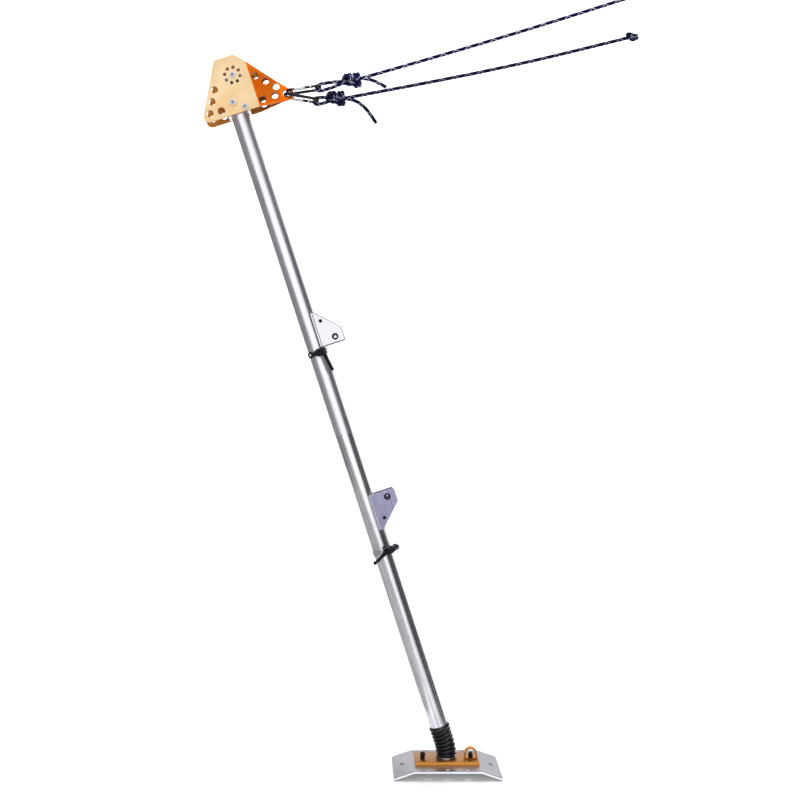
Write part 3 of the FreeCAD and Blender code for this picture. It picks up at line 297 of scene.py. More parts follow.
def cleanCopy(node):
    # the CAD mesh merged to whole faces, and the faces of its painted dark outline (painted shade)
    mesh = frame["nodes"][node].data.copy()
    if "custom_normal" in mesh.attributes:
        mesh.attributes.remove(mesh.attributes["custom_normal"])
    bm = bmesh.new()
    bm.from_mesh(mesh)
    bmesh.ops.remove_doubles(bm, verts=bm.verts, dist=mergeGap["cad"] * mm)
    bmesh.ops.dissolve_limit(bm, angle_limit=math.radians(breaking["flat"]), verts=bm.verts, edges=bm.edges)
    border = []
    if node in paintedOutlineWidth:
        way = Vector(broadFaces[node])
        broad = [face for face in bm.faces if abs(face.normal.dot(way)) > facing["border"]]
        rows = bmesh.ops.inset_region(bm, faces=broad, thickness=paintedOutlineWidth[node] * mm, use_boundary=True,
                                      use_even_offset=True)["faces"]
        bm.faces.index_update()
        border = [face.index for face in rows]
    bm.to_mesh(mesh)
    bm.free()
    return mesh, border


def edgedCopy(node, width, material, edgeMaterial=None):
    # the CAD solid with its edges broken, so that they catch the light
    mesh, border = cleanCopy(node)
    if node in broadFaces:
        markRims(mesh, Vector(broadFaces[node]))
    piece = bpy.data.objects.new(node + "_edged", mesh)
    bpy.context.scene.collection.objects.link(piece)
    shadeSmooth(piece, breaking["smooth"])
    bevel = piece.modifiers.new("brokenEdge", "BEVEL")
    bevel.width = width * mm
    bevel.segments = breaking["segments"]
    bevel.limit_method = "ANGLE"
    bevel.angle_limit = math.radians(breaking["sharp"])
    bevel.use_clamp_overlap = True
    bevel.harden_normals = True
    settle(piece, bodyOf[node], material, slotOf[node], node)
    # painted light: bevels and inset outline faces take the edge finish, a painted highlight or a painted outline
    # shade
    if edgeMaterial:
        piece.data.materials.append(edgeMaterial)
        bevel.material = 1
    for index in border:
        mesh.polygons[index].material_index = 1


# rope sizes in millimetres, shared by the sheath finish and the rope pieces
rope = {
    "radius": 5.5, "sides": 40, "yarns": 10, "braidPitch": 9.0, "relief": 0.28, "reliefMiddle": 0.6,
    "tracerPitch": 41.0, "lineStep": 1.1, "knotStep": 1.6, "leastSteps": 6,
}


# finishes

def newMaterial(name):
    material = bpy.data.materials.new(name)
    material.use_nodes = True
    tree = material.node_tree
    return material, tree.nodes, tree.links, tree.nodes["Principled BSDF"]


def addNode(nodes, kind, **sockets):
    node = nodes.new(kind)
    for name, value in sockets.items():
        node.inputs[name].default_value = value
    return node


def objectCoords(nodes, links, turn=(0, 0, 0), stretch=(1, 1, 1)):
    # Object coordinates, turned and then stretched
    texture = nodes.new("ShaderNodeTexCoord")
    turned = addNode(nodes, "ShaderNodeMapping", Rotation=turn)
    stretched = addNode(nodes, "ShaderNodeMapping", Scale=stretch)
    links.new(texture.outputs["Object"], turned.inputs["Vector"])
    links.new(turned.outputs["Vector"], stretched.inputs["Vector"])
    return turned.outputs["Vector"], stretched.outputs["Vector"]


def noise(nodes, links, vector, scale, detail=3.0, roughness=0.55):
    node = addNode(nodes, "ShaderNodeTexNoise", Scale=scale, Detail=detail, Roughness=roughness)
    links.new(vector, node.inputs["Vector"])
    return node.outputs["Fac"]


def ranged(nodes, links, value, low, high, fromLow=0.3, fromHigh=0.7, smooth=False):
    node = nodes.new("ShaderNodeMapRange")
    node.interpolation_type = "SMOOTHSTEP" if smooth else "LINEAR"
    node.inputs["From Min"].default_value = fromLow
    node.inputs["From Max"].default_value = fromHigh
    node.inputs["To Min"].default_value = low
    node.inputs["To Max"].default_value = high
    links.new(value, node.inputs["Value"])
    return node.outputs["Result"]


def mixColour(nodes, links, factor, first, second):
    node = nodes.new("ShaderNodeMix")
    node.data_type = "RGBA"
    links.new(factor, node.inputs["Factor"])
    for socket, colour in ((node.inputs["A"], first), (node.inputs["B"], second)):
        if isinstance(colour, bpy.types.NodeSocket):
            links.new(colour, socket)
        else:
            socket.default_value = (*colour, 1)
    return node.outputs["Result"]


def mathNode(nodes, links, operation, first, second=None):
    node = nodes.new("ShaderNodeMath")
    node.operation = operation
    for index, value in enumerate((first, second)):
        if value is None:
            continue
        if isinstance(value, bpy.types.NodeSocket):
            links.new(value, node.inputs[index])
        else:
            node.inputs[index].default_value = value
    return node.outputs["Value"]


def addBump(nodes, links, shader, height, strength, distance):
    bump = addNode(nodes, "ShaderNodeBump", Strength=strength, Distance=distance)
    links.new(height, bump.inputs["Height"])
    links.new(bump.outputs["Normal"], shader.inputs["Normal"])


def marked(nodes, name):
    node = nodes.new("ShaderNodeAttribute")
    node.attribute_name = name
    return node.outputs["Fac"]


# brushed metal: how streaks and patches share the tone, its range, and the bump's depth in metres
brushing = {"streakShare": 0.65, "streakDetail": 4, "patchShare": 0.35, "patchScale": 9, "patchDetail": 3,
            "toneFrom": 0.38, "toneTo": 0.62, "depth": 0.0004}


def brushedMetal(name, pale, dark, rough, turn=(0, 0, 0), stretch=(1, 1, 1), grain=300, metal=1.0,
                 bump=0.08, rim=None):
    # streaked metal: fine lines along one direction over broad, soft patches
    material, nodes, links, shader = newMaterial(name)
    turned, stretched = objectCoords(nodes, links, turn, stretch)
    streak = noise(nodes, links, stretched, grain, brushing["streakDetail"])
    patch = noise(nodes, links, turned, brushing["patchScale"], brushing["patchDetail"])
    shade = mathNode(nodes, links, "ADD", mathNode(nodes, links, "MULTIPLY", streak, brushing["streakShare"]),
                     mathNode(nodes, links, "MULTIPLY", patch, brushing["patchShare"]))
    tone = ranged(nodes, links, shade, 0, 1, brushing["toneFrom"], brushing["toneTo"])
    colour = mixColour(nodes, links, tone, dark, pale)
    # painted light: the rim colour paints cut edges lighter as a highlight or darker as an outline shade
    if rim:
        colour = mixColour(nodes, links, marked(nodes, "rim"), colour, rim)
    links.new(colour, shader.inputs["Base Color"])
    links.new(ranged(nodes, links, shade, *rough), shader.inputs["Roughness"])
    shader.inputs["Metallic"].default_value = metal
    addBump(nodes, links, shader, streak, bump, brushing["depth"])
    return material


# head plates: place and softness of the bend in millimetres, colours (the flank, inside and rim colours are
# painted shade), bump depth in metres
headPlate = {
    "bendAcross": 68.0, "bendBlend": 0.8, "grainStretch": (40, 40, 900), "grainShare": 0.07,
    "patchScale": 14, "detail": 4,
    "flat": ((0.86, 0.57, 0.28), (0.95, 0.74, 0.45)), "flatGrain": (1.0, 0.84, 0.58),
    "flank": ((0.98, 0.16, 0.006), (1.0, 0.22, 0.012)), "inside": (0.52, 0.21, 0.035),
    "rim": (0.62, 0.17, 0.02), "rough": (0.30, 0.44), "metal": (0.62, 1.0), "bump": 0.05, "depth": 0.0003,
}


def headFinish():
    # anodised plate of one gold, painted pale on the flat and deep orange on the bent flank: painted light and
    # shade of the bend
    material, nodes, links, shader = newMaterial("headAnodised")
    turned, stretched = objectCoords(nodes, links, (0, leanAngle, 0), headPlate["grainStretch"])
    split = nodes.new("ShaderNodeSeparateXYZ")
    links.new(turned, split.inputs["Vector"])
    bendAt = headPlate["bendAcross"] * mm + pivot.dot(poleAcross)
    blend = headPlate["bendBlend"] * mm
    flank = ranged(nodes, links, split.outputs["X"], 0, 1, bendAt - blend, bendAt + blend, True)
    grain = noise(nodes, links, stretched, 1, headPlate["detail"])
    patch = noise(nodes, links, turned, headPlate["patchScale"], headPlate["detail"])
    patch = ranged(nodes, links, patch, 0, 1)
    flat = mixColour(nodes, links, patch, *headPlate["flat"])
    flat = mixColour(nodes, links, ranged(nodes, links, grain, 0, headPlate["grainShare"]), flat,
                     headPlate["flatGrain"])
    # painted shade: the bent flank takes the deeper orange colour
    colour = mixColour(nodes, links, flank, flat, mixColour(nodes, links, patch, *headPlate["flank"]))
    # painted shade: the inside faces between the plates and the cut rims are darkened
    for mark in ("inside", "rim"):
        colour = mixColour(nodes, links, marked(nodes, mark), colour, headPlate[mark])
    links.new(colour, shader.inputs["Base Color"])
    links.new(ranged(nodes, links, grain, *headPlate["rough"]), shader.inputs["Roughness"])
    links.new(ranged(nodes, links, flank, *headPlate["metal"], 0, 1), shader.inputs["Metallic"])
    addBump(nodes, links, shader, grain, headPlate["bump"], headPlate["depth"])
    return material


# black parts: size and range of the rubbed patches, bump depth in metres
rubbing = {"patchScale": 45, "patchDetail": 4, "toneFrom": 0.4, "toneTo": 0.75, "depth": 0.0003}


def darkFinish(name, colour, lighter, rough, grain=700, bump=0.12, metal=0.0, coat=0.0, sheen=0.22):
    # black parts: fine grain with rubbed, slightly lighter patches
    material, nodes, links, shader = newMaterial(name)
    place, _ = objectCoords(nodes, links)
    fine = noise(nodes, links, place, grain)
    patch = noise(nodes, links, place, rubbing["patchScale"], rubbing["patchDetail"])
    tone = ranged(nodes, links, patch, 0, 1, rubbing["toneFrom"], rubbing["toneTo"])
    links.new(mixColour(nodes, links, tone, colour, lighter), shader.inputs["Base Color"])
    links.new(ranged(nodes, links, patch, *rough), shader.inputs["Roughness"])
    shader.inputs["Metallic"].default_value = metal
    shader.inputs["Coat Weight"].default_value = coat
    shader.inputs["Specular IOR Level"].default_value = sheen
    addBump(nodes, links, shader, fine, bump, rubbing["depth"])
    return material


# rope sheath: shine, how the two tracers are set apart, fuzz, bump depth in metres
sheath = {"rough": 0.78, "sheen": 0.10, "counterShift": 0.35, "fuzzScale": 1500, "fuzzDetail": 2,
          "fuzzShare": 0.3, "shadeFrom": -0.2, "bump": 0.35, "depth": 0.0006}


def ropeFinish(name, ground, thread, fleck, fleckShare):
    # braided sheath: crossing yarns, with a pale tracer that shows on every other crossing
    material, nodes, links, shader = newMaterial(name)

    def calc(operation, first, second=None):
        return mathNode(nodes, links, operation, first, second)

    texture = nodes.new("ShaderNodeTexCoord")
    split = nodes.new("ShaderNodeSeparateXYZ")
    links.new(texture.outputs["UV"], split.inputs["Vector"])
    around, along = split.outputs["X"], split.outputs["Y"]
    yarns = calc("MULTIPLY", around, rope["yarns"])
    leftHand = calc("SINE", calc("MULTIPLY", calc("ADD", yarns, along), 2 * math.pi))
    rightHand = calc("SINE", calc("MULTIPLY", calc("SUBTRACT", yarns, along), 2 * math.pi))
    onTop = calc("GREATER_THAN", leftHand, rightHand)
    height = calc("MAXIMUM", leftHand, rightHand)
    lay = calc("MULTIPLY", along, rope["braidPitch"] / rope["tracerPitch"])
    tracer = calc("LESS_THAN", calc("FRACT", calc("ADD", around, lay)), fleckShare)
    counter = calc("ADD", calc("SUBTRACT", around, lay), sheath["counterShift"])
    counter = calc("LESS_THAN", calc("FRACT", counter), fleckShare)
    shown = calc("MULTIPLY", tracer, onTop)
    crossed = calc("MULTIPLY", counter, calc("SUBTRACT", 1.0, onTop))
    flecks = calc("MAXIMUM", shown, crossed)
    place, _ = objectCoords(nodes, links)
    fuzz = noise(nodes, links, place, sheath["fuzzScale"], sheath["fuzzDetail"])
    # painted shade: the braid's hollows take the darker ground colour, the crossings the thread colour
    raised = ranged(nodes, links, height, 0, 1, sheath["shadeFrom"], 1.0)
    yarn = mixColour(nodes, links, raised, ground, thread)
    yarn = mixColour(nodes, links, ranged(nodes, links, fuzz, 0, sheath["fuzzShare"]), yarn, ground)
    links.new(mixColour(nodes, links, flecks, yarn, fleck), shader.inputs["Base Color"])
    shader.inputs["Roughness"].default_value = sheath["rough"]
    shader.inputs["Specular IOR Level"].default_value = sheath["sheen"]
    addBump(nodes, links, shader, calc("ADD", height, fuzz), sheath["bump"], sheath["depth"])
    return material


# finishes of single nodes and of their broken edges, beside those of the slots; the edge finishes paint highlight
# or shade
nodeFinishes = {}
edgeFinishes = {}


def buildFinishes():
    lean = (0, leanAngle, 0)
    finishes = {
        "satin_tube": brushedMetal("satinTube", (0.86, 0.86, 0.90), (0.72, 0.72, 0.78), (0.27, 0.38), lean,
                                   (1, 1, 0.012), 420),
        "polished_tube": brushedMetal("polishedTube", (0.92, 0.92, 0.94), (0.50, 0.51, 0.56), (0.13, 0.25),
                                      lean, (1, 1, 0.006), 230, bump=0.22),
        "head_anodised": headFinish(),
        # the base and foot plates' rim colours are lighter than their faces: painted highlight on the cut edges
        "gold_anodised": brushedMetal("goldAnodised", (0.46, 0.20, 0.050), (0.28, 0.112, 0.022), (0.28, 0.42),
                                      (0, 0, 0), (0.03, 1, 1), 500, 0.9, rim=(0.72, 0.31, 0.06)),
        "foot_aluminium": brushedMetal("footAluminium", (0.42, 0.41, 0.445), (0.28, 0.272, 0.30),
                                       (0.26, 0.40), (0, 0, 0), (0.03, 1, 1), 480, 0.9,
                                       rim=(0.84, 0.84, 0.87)),
        "machined_aluminium": brushedMetal("machinedAluminium", (0.82, 0.82, 0.86), (0.66, 0.66, 0.71),
                                           (0.24, 0.38), lean, (1, 1, 0.05), 500, 0.9),
        "zinc_steel": brushedMetal("zincSteel", (0.72, 0.73, 0.75), (0.36, 0.37, 0.40), (0.14, 0.28),
                                   grain=220),
        "forged_steel": brushedMetal("forgedSteel", (0.40, 0.40, 0.42), (0.27, 0.27, 0.29), (0.38, 0.55),
                                     grain=260),
        "bronze": brushedMetal("bronzeBush", (0.72, 0.47, 0.22), (0.52, 0.32, 0.14), (0.28, 0.42), grain=300),
        "sleeve_silver": brushedMetal("sleeveSilver", (0.80, 0.84, 0.90), (0.62, 0.66, 0.72), (0.22, 0.36),
                                      grain=500),
        "black_steel": darkFinish("blackSteel", (0.008, 0.009, 0.012), (0.026, 0.027, 0.033), (0.28, 0.42),
                                  metal=0.4, sheen=0.16),
        "black_plastic": darkFinish("blackPlastic", (0.004, 0.005, 0.009), (0.012, 0.013, 0.020),
                                    (0.34, 0.48), sheen=0.14),
        "boot_rubber": darkFinish("bootRubber", (0.004, 0.004, 0.006), (0.012, 0.012, 0.017), (0.15, 0.27),
                                  grain=420, sheen=0.5),
        "carabiner_black": darkFinish("carabinerBlack", (0.006, 0.007, 0.012), (0.020, 0.021, 0.030),
                                      (0.2, 0.34), metal=0.4, coat=0.1),
        "upper_rope_sheath": ropeFinish("upperRopeSheath", (0.003, 0.003, 0.030), (0.008, 0.008, 0.068),
                                        (0.66, 0.68, 0.84), 0.12),
        "lower_rope_sheath": ropeFinish("lowerRopeSheath", (0.002, 0.003, 0.020), (0.006, 0.007, 0.046),
                                        (0.42, 0.45, 0.62), 0.10),
    }
    bracketWay = (lean, (1, 1, 0.05), 500, 0.6)
    # painted light on the bracket rims: the upper's dark rim is painted outline shade, the lower's bright rim and
    # top web a painted highlight
    nodeFinishes["upper_bracket_shell"] = brushedMetal(
        "upperBracket", (0.86, 0.86, 0.90), (0.76, 0.76, 0.80), (0.26, 0.40), *bracketWay,
        rim=(0.20, 0.20, 0.24))
    nodeFinishes["lower_bracket_shell"] = brushedMetal(
        "lowerBracket", (0.38, 0.37, 0.54), (0.25, 0.245, 0.37), (0.26, 0.42), *bracketWay,
        rim=(0.88, 0.88, 0.94))
    strap = brushedMetal("saddleStrap", (0.84, 0.83, 0.82), (0.68, 0.67, 0.67), (0.3, 0.45), *bracketWay)
    for kind in kinds:
        for piece in ("_clamp_screw", "_pin_bushes", "_bracket_rivet"):
            nodeFinishes[kind + piece] = finishes["black_plastic"]
        nodeFinishes[kind + "_saddle"] = strap
    nodeFinishes["upper_clamp_band"] = finishes["black_steel"]
    # painted light on broken edges: darkEdge is a painted dark outline shade for the upper bracket and foot plate,
    # brightEdge a painted highlight for the lower bracket; the weld seams reuse both
    darkEdge = brushedMetal("darkEdge", (0.09, 0.09, 0.11), (0.05, 0.05, 0.065), (0.35, 0.5), grain=400)
    brightEdge = brushedMetal("brightEdge", (0.95, 0.95, 0.98), (0.8, 0.8, 0.86), (0.2, 0.3), grain=400)
    # painted shade: a dark brown outline on the broken edges of the head and base plates, and on the base plate's
    # inset outline
    amberEdge = brushedMetal("amberEdge", (0.20, 0.07, 0.015), (0.12, 0.04, 0.008), (0.45, 0.6), grain=400,
                             metal=0.2)
    edgeFinishes["upper_bracket_shell"] = darkEdge
    edgeFinishes["lower_bracket_shell"] = brightEdge
    edgeFinishes["foot_plate"] = darkEdge
    for node in ("front_plate", "rear_plate", "base_plate"):
        edgeFinishes[node] = amberEdge
    finishes["upper_seam"], finishes["lower_seam"] = darkEdge, brightEdge
    print("finishes built:", len(finishes))
    return finishes


# CAD nodes: edges broken by so many millimetres on what shows, plain finish on what is inside

brokenEdges = {
    "foot_plate": 1.2, "base_plate": 0.5, "foot_eye": 0.9, "foot_nuts": 0.6, "eye_bolt": 0.8,
    "boot_collar": 0.8, "swivel_nut": 0.8,
    "front_plate": 1.5, "rear_plate": 1.5, "head_block": 1.2, "sheave": 0.8, "sheave_axle": 0.7,
    "head_bolts": 0.7, "head_nuts": 0.7, "lower_tube": 0.6, "upper_tube": 0.6,
}
pairedEdges = {
    "_bracket_shell": 1.5, "_saddle": 0.4, "_pin_bushes": 0.4, "_bracket_rivet": 0.7, "_clamp_band": 0.4,
    "_clamp_screw": 0.8, "_carabiner": 0.6, "_gate": 0.5,
}
for kind in kinds:
    brokenEdges.update({kind + piece: width for piece, width in pairedEdges.items()})


def dressNodes(finishes):
    for node, thing in frame["nodes"].items():
        material = nodeFinishes.get(node, finishes[slotOf[node]])
        thing.data.materials.clear()
        thing.data.materials.append(material)
        if node in brokenEdges:
            edgedCopy(node, brokenEdges[node], material, edgeFinishes.get(node))
    print("CAD nodes dressed:", len(brokenEdges), "with broken edges")


# rubber boot: round ribs along the bent line from the collar to the tube

boot = {
    "base": 24.0, "lipStart": 60.4, "top": 74.5, "ribs": 7, "lipRibs": 1,
    "valley": 27.2, "crest": 32.4, "lipValley": 30.3, "lipCrest": 33.0, "wall": 2.0, "ringSides": 56,
    "ringsPerRib": 8, "splitRib": 2, "bendLow": -19.2, "bendSplit": 0.2, "bendHigh": 28.0, "crestGain": 1.2,
    "seamSlack": 0.01, "smooth": 70,
}
# the boot's line: an arc that starts below the pivot, then straight along the pole
bootSweep = boot["base"] / math.tan(leanAngle / 2)
bootArc = bootSweep * leanAngle


def bootRing(bm, distance, radius):
    # a ring at so many millimetres along the boot's line
    start = pivot - Vector((0, 0, boot["base"] * mm))
    if distance < bootArc:
        turn = distance / bootSweep
        centre = start + Vector((-bootSweep * (1 - math.cos(turn)), 0, bootSweep * math.sin(turn))) * mm
    else:
        turn = leanAngle
        centre = pivot + poleUp * (boot["base"] + distance - bootArc) * mm
    ring = bmesh.ops.create_circle(bm, cap_ends=False, segments=boot["ringSides"],
                                   radius=radius * mm)["verts"]
    place = Matrix.Translation(centre) @ Matrix.Rotation(-turn, 4, "Y")
    bmesh.ops.transform(bm, matrix=place, verts=ring)
    return sorted({edge for vert in ring for edge in vert.link_edges}, key=lambda edge: edge.index)


def bootProfile():
    # rows of (distance, radius) for every rib, and the distance where the boot is parted in two
    total = bootArc + boot["top"] - boot["base"]
    lipStart = bootArc + boot["lipStart"] - boot["base"]
    gain = boot["crestGain"]
    rows = []
    spans = [(0, lipStart, boot["ribs"], boot["valley"], boot["crest"]),
             (lipStart, total, boot["lipRibs"], boot["lipValley"], boot["lipCrest"])]
    for low, high, ribs, valley, crest in spans:
        pitch = (high - low) / ribs
        for step in range(ribs * boot["ringsPerRib"]):
            share = step / boot["ringsPerRib"]
            swell = min(1.0, gain - gain * abs(2 * (share % 1) - 1))
            rows.append((low + share * pitch, valley + (crest - valley) * swell))
    rows.append((total, boot["lipValley"]))
    return rows, lipStart / boot["ribs"] * boot["splitRib"]


def bootHalf(name, rows):
    bm = bmesh.new()
    rings = [bootRing(bm, distance, radius) for distance, radius in rows]
    rings += [bootRing(bm, distance, radius - boot["wall"]) for distance, radius in reversed(rows)]
    for first, second in zip(rings, rings[1:] + rings[:1]):
        bmesh.ops.bridge_loops(bm, edges=first + second)
    bmesh.ops.recalc_face_normals(bm, faces=bm.faces)
    half = meshObject(name, bm)
    shadeSmooth(half, boot["smooth"])
    return half


def buildBoot(finishes):
    rows, split = bootProfile()
    slack = boot["seamSlack"]
    lower = bootHalf("bootLower", [row for row in rows if row[0] <= split + slack])
    upper = bootHalf("bootUpper", [row for row in rows if row[0] >= split - slack])
    rubber = finishes["boot_rubber"]
    middle = Vector((-math.sin(leanAngle / 2), 0, math.cos(leanAngle / 2))) * mm
    low, seam, high = (pivot + middle * boot[name] for name in ("bendLow", "bendSplit", "bendHigh"))
    for half, pair, start, end in ((lower, ("swivel", "cross"), low, seam),
                                   (upper, ("cross", "lower_pole"), seam, high)):
        half.data.materials.append(rubber)
        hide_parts("rubber_boot")
        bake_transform(half)
    print("boot built:", boot["ribs"] + boot["lipRibs"], "ribs")


# ropes: NURBS lines along the routes, with braided relief

routes = {
    "upper": {
        "bight": [(190, 6.5, 40), (158, 4, 39), (124, 1, 34), (94.9, 0, 28), (94.9, 0, 6.8), (124, -1, 12),
                  (158, -4, 24), (190, -6.5, 36)],
        "rope": [(232, 0, 47.6), (470.7, 0, 115.8), (697.2, 0, 182.9), (924.2, 0, 253.1),
                 (1142.2, 0, 322.8)],
        "tail": [(226, -12, 46), (258, -12.8, 43.5), (288, -14, 31.5), (313, -16, 16)],
        "knot": (213.3, 0, 40.6), "rise": 14.0, "material": "upper_rope_sheath",
    },
    "lower": {
        "bight": [(150, 6.5, -12), (130, 4.5, -10.5), (110, 1.5, -11.7), (87.4, 0, -13.1), (87.4, 0, -34.3),
                  (110, -1.5, -32.7), (130, -4.5, -26.5), (150, -6.5, -19)],
        "rope": [(182, 0, -14.4), (414.2, 0, 28.8), (642.2, 0, 73.8), (867.2, 0, 123.8),
                 (1086.2, 0, 178.8)],
        "tail": [(174, -11, -17), (210, -11.5, -21), (238, -12, -38), (262, -12.5, -64), (282, -13, -96)],
        "knot": (162.6, 0, -16.5), "rise": 9.0, "material": "lower_rope_sheath",
    },
}
# one strand of the figure-eight, from the standing side to the loop side
eightTurns = [
    (18, 0, 5), (-7, 2, 4), (-24, 8, -1), (-32, 17, 7), (-26, 10, 22), (-17, -10, 23), (-10, -20, 5),
    (-3, -18, -14), (6, -3, -22), (10, 16, -12), (11, 19, 7), (8, 6, 22), (11, -13, 16), (9, -18, -4),
    (-3, -6, -11), (-22, -2, -6),
]
# its two strands lie side by side: shift along the rope, and toward the back
strandShifts = ((-4, 0), (7, 2))
# the small knot at a rope's far end
endTurns = [
    (18, 0, 5), (6, -4, 3), (-8, -9, 7), (-14, 2, 9), (-6, 10, 2), (4, 6, -8), (10, -5, -9), (2, -11, -2),
    (-5, -4, 9), (0, 7, 9), (10, 8, 2), (22, 3, -4),
]


def routeCurve(name, points):
    curve = bpy.data.curves.new(name, "CURVE")
    curve.dimensions = "3D"
    spline = curve.splines.new("NURBS")
    spline.points.add(len(points) - 1)
    for point, place in zip(spline.points, points):
        point.co = (*place, 1)
    spline.order_u = 3
    spline.use_endpoint_u = True
    thing = bpy.data.objects.new(name, curve)
    bpy.context.scene.collection.objects.link(thing)
    return thing


def ropePiece(name, points, step):
    # a tube read from the route's spline, its sheath raised along the crossing yarns
    guide = routeCurve(name + "Guide", points)
    runs = len(points) - 1
    reach = sum((second - first).length for first, second in zip(points, points[1:]))
    guide.data.resolution_u = max(rope["leastSteps"], round(reach / (step * mm) / runs))
    line = bpy.data.meshes.new_from_object(guide)
    centres = [vert.co.copy() for vert in line.vertices]
    guide.data.bevel_depth = rope["radius"] * mm
    guide.data.bevel_resolution = rope["sides"] // 2 - 2
    guide.data.use_fill_caps = True
    mesh = bpy.data.meshes.new_from_object(guide)
    bpy.data.objects.remove(guide)
    sides = len(mesh.vertices) // len(centres)
    distances = [0.0]
    for first, second in zip(centres, centres[1:]):
        distances.append(distances[-1] + (second - first).length)
    turns = 2 * math.pi / (rope["braidPitch"] * mm)
    for vert in mesh.vertices:
        ring, side = divmod(vert.index, sides)
        ring = min(ring, len(centres) - 1)
        angle = 2 * math.pi * side / sides * rope["yarns"]
        yarn = max(math.sin(angle + turns * distances[ring]), math.sin(angle - turns * distances[ring]))
        outward = (vert.co - centres[ring]).normalized()
        vert.co += outward * rope["relief"] * mm * (yarn - rope["reliefMiddle"])
    uv = mesh.uv_layers[0] if mesh.uv_layers else mesh.uv_layers.new(name="sheath")
    for face in mesh.polygons:
        spots = [divmod(mesh.loops[loop].vertex_index, sides) for loop in face.loop_indices]
        wraps = max(side for ring, side in spots) - min(side for ring, side in spots) > sides // 2
        for loop, (ring, side) in zip(face.loop_indices, spots):
            turn = side + sides if wraps and side < sides // 2 else side
            length = distances[min(ring, len(centres) - 1)]
            uv.data[loop].uv = (turn / sides, length / (rope["braidPitch"] * mm))
    mesh.polygons.foreach_set("use_smooth", [True] * len(mesh.polygons))
    mesh.name = name
    piece = bpy.data.objects.new(name, mesh)
    bpy.context.scene.collection.objects.link(piece)
    return piece, centres, distances[-1]


def knotPoints(guy):
    centre = Vector(guy["knot"])
    tilt = math.radians(guy["rise"])
    along = Vector((math.cos(tilt), 0, math.sin(tilt)))
    upward = Vector((-math.sin(tilt), 0, math.cos(tilt)))

    def strand(shift, back):
        return [centre + along * (x + shift) + Vector((0, y + back, 0)) + upward * z
                for x, y, z in eightTurns]

    first, second = (strand(*shift) for shift in strandShifts)
    points = [Vector(guy["rope"][0])] + first + [Vector(point) for point in guy["bight"]]
    points += list(reversed(second)) + [Vector(guy["tail"][0])]
    return [fromTip(point) for point in points]


def buildGuys(finishes):
    for kind, guy in routes.items():
        body = kind + "_guy"
        material = finishes[guy["material"]]
        knot, _, _ = ropePiece(kind + "Knot", knotPoints(guy), rope["knotStep"])
        settle(knot, body, material, guy["material"], kind + "_knot")
        end = Vector(guy["rope"][-1])
        turns = [fromTip(end + Vector(turn)) for turn in endTurns]
        endKnot, _, _ = ropePiece(kind + "EndKnot", turns, rope["knotStep"])
        settle(endKnot, body, material, guy["material"], kind + "_end_knot")
        route = [fromTip(point) for point in guy["rope"]]
        line, centres, length = ropePiece(kind + "Rope", route, rope["lineStep"])
        settle(line, body, material, guy["material"], kind + "_rope")
        route = [fromTip(point) for point in guy["tail"]]
        tail, tailCentres, tailLength = ropePiece(kind + "Tail", route, rope["lineStep"])
        settle(tail, body, material, guy["material"], kind + "_tail")
        print(kind, "guy built: rope", round(length, 3), "m, tail", round(tailLength, 3), "m")


# carabiner sleeves: knurled screw sleeves on the gates

sleeve = {
    "start": -18.0, "length": 34.0, "radius": 7.0, "bore": 4.4, "lip": 0.7, "collar": 4.0, "neck": 4.6,
    "neckDepth": 0.6, "gripDepth": 0.5, "bands": 6, "sides": 72, "fluteInset": 4.7, "fluteDepth": 0.07,
    "flutes": 18,
}


def buildSleeves(finishes):
    low, high = sleeve["start"], sleeve["start"] + sleeve["length"]
    outer, bore, lip = sleeve["radius"], sleeve["bore"], sleeve["lip"]
    collar, neck = sleeve["collar"], sleeve["neck"]
    profile = [(bore, low), (outer - lip, low), (outer, low + lip), (outer, low + collar),
               (outer - sleeve["neckDepth"], low + neck)]
    for band in range(1, sleeve["bands"]):
        along = low + neck + band * (sleeve["length"] - 2 * neck) / sleeve["bands"]
        profile.append((outer - sleeve["gripDepth"], along))
    profile += [(outer - sleeve["neckDepth"], high - neck), (outer, high - collar), (outer, high - lip),
                (outer - lip, high), (bore, high), (bore, low)]
    flutes = (low + sleeve["fluteInset"], high - sleeve["fluteInset"], sleeve["fluteDepth"], sleeve["flutes"])
    for kind in kinds:
        place, axis = jointPlace(kind + "_sleeve_turn")
        ring = lathe(kind + "Sleeve", profile, place, axis, sleeve["sides"], flutes)
        settle(ring, kind + "_sleeve", finishes["sleeve_silver"], "sleeve_silver", kind + "_sleeve")
    print("sleeves built")


# clamp levers: fluted hub, grooved arm with a small foot; on the screw a fluted grip and a bright cap

lever = {
    "hubStart": 8.1, "hubLength": 28.0, "hubRadius": 12.0, "hubBore": 4.1, "hubChamfer": 1.2, "hubBands": 8,
    "hubSides": 64, "hubCrown": ((0, 3.2), (1.0, 1.2), (3.2, 0.2)), "fluteStart": 2, "fluteEnd": 6,
    "fluteDepth": 0.10, "flutes": 14, "root": 29.0, "arm": 62.0, "splay": 10.0, "armWide": 12.0,
    "armDeep": 9.5, "tipWide": 9.0, "tipDeep": 7.0, "groove": 1.3, "grooveInset": 2.4, "round": 1.0,
    "roundSegments": 3, "squarely": 0.9, "sharp": 0.6, "smooth": 45, "footRadius": 5.75, "footSteps": 14,
    "footSides": 32, "lowerTurn": 115.5, "headFace": 15.0, "bossInset": 3.6,
}
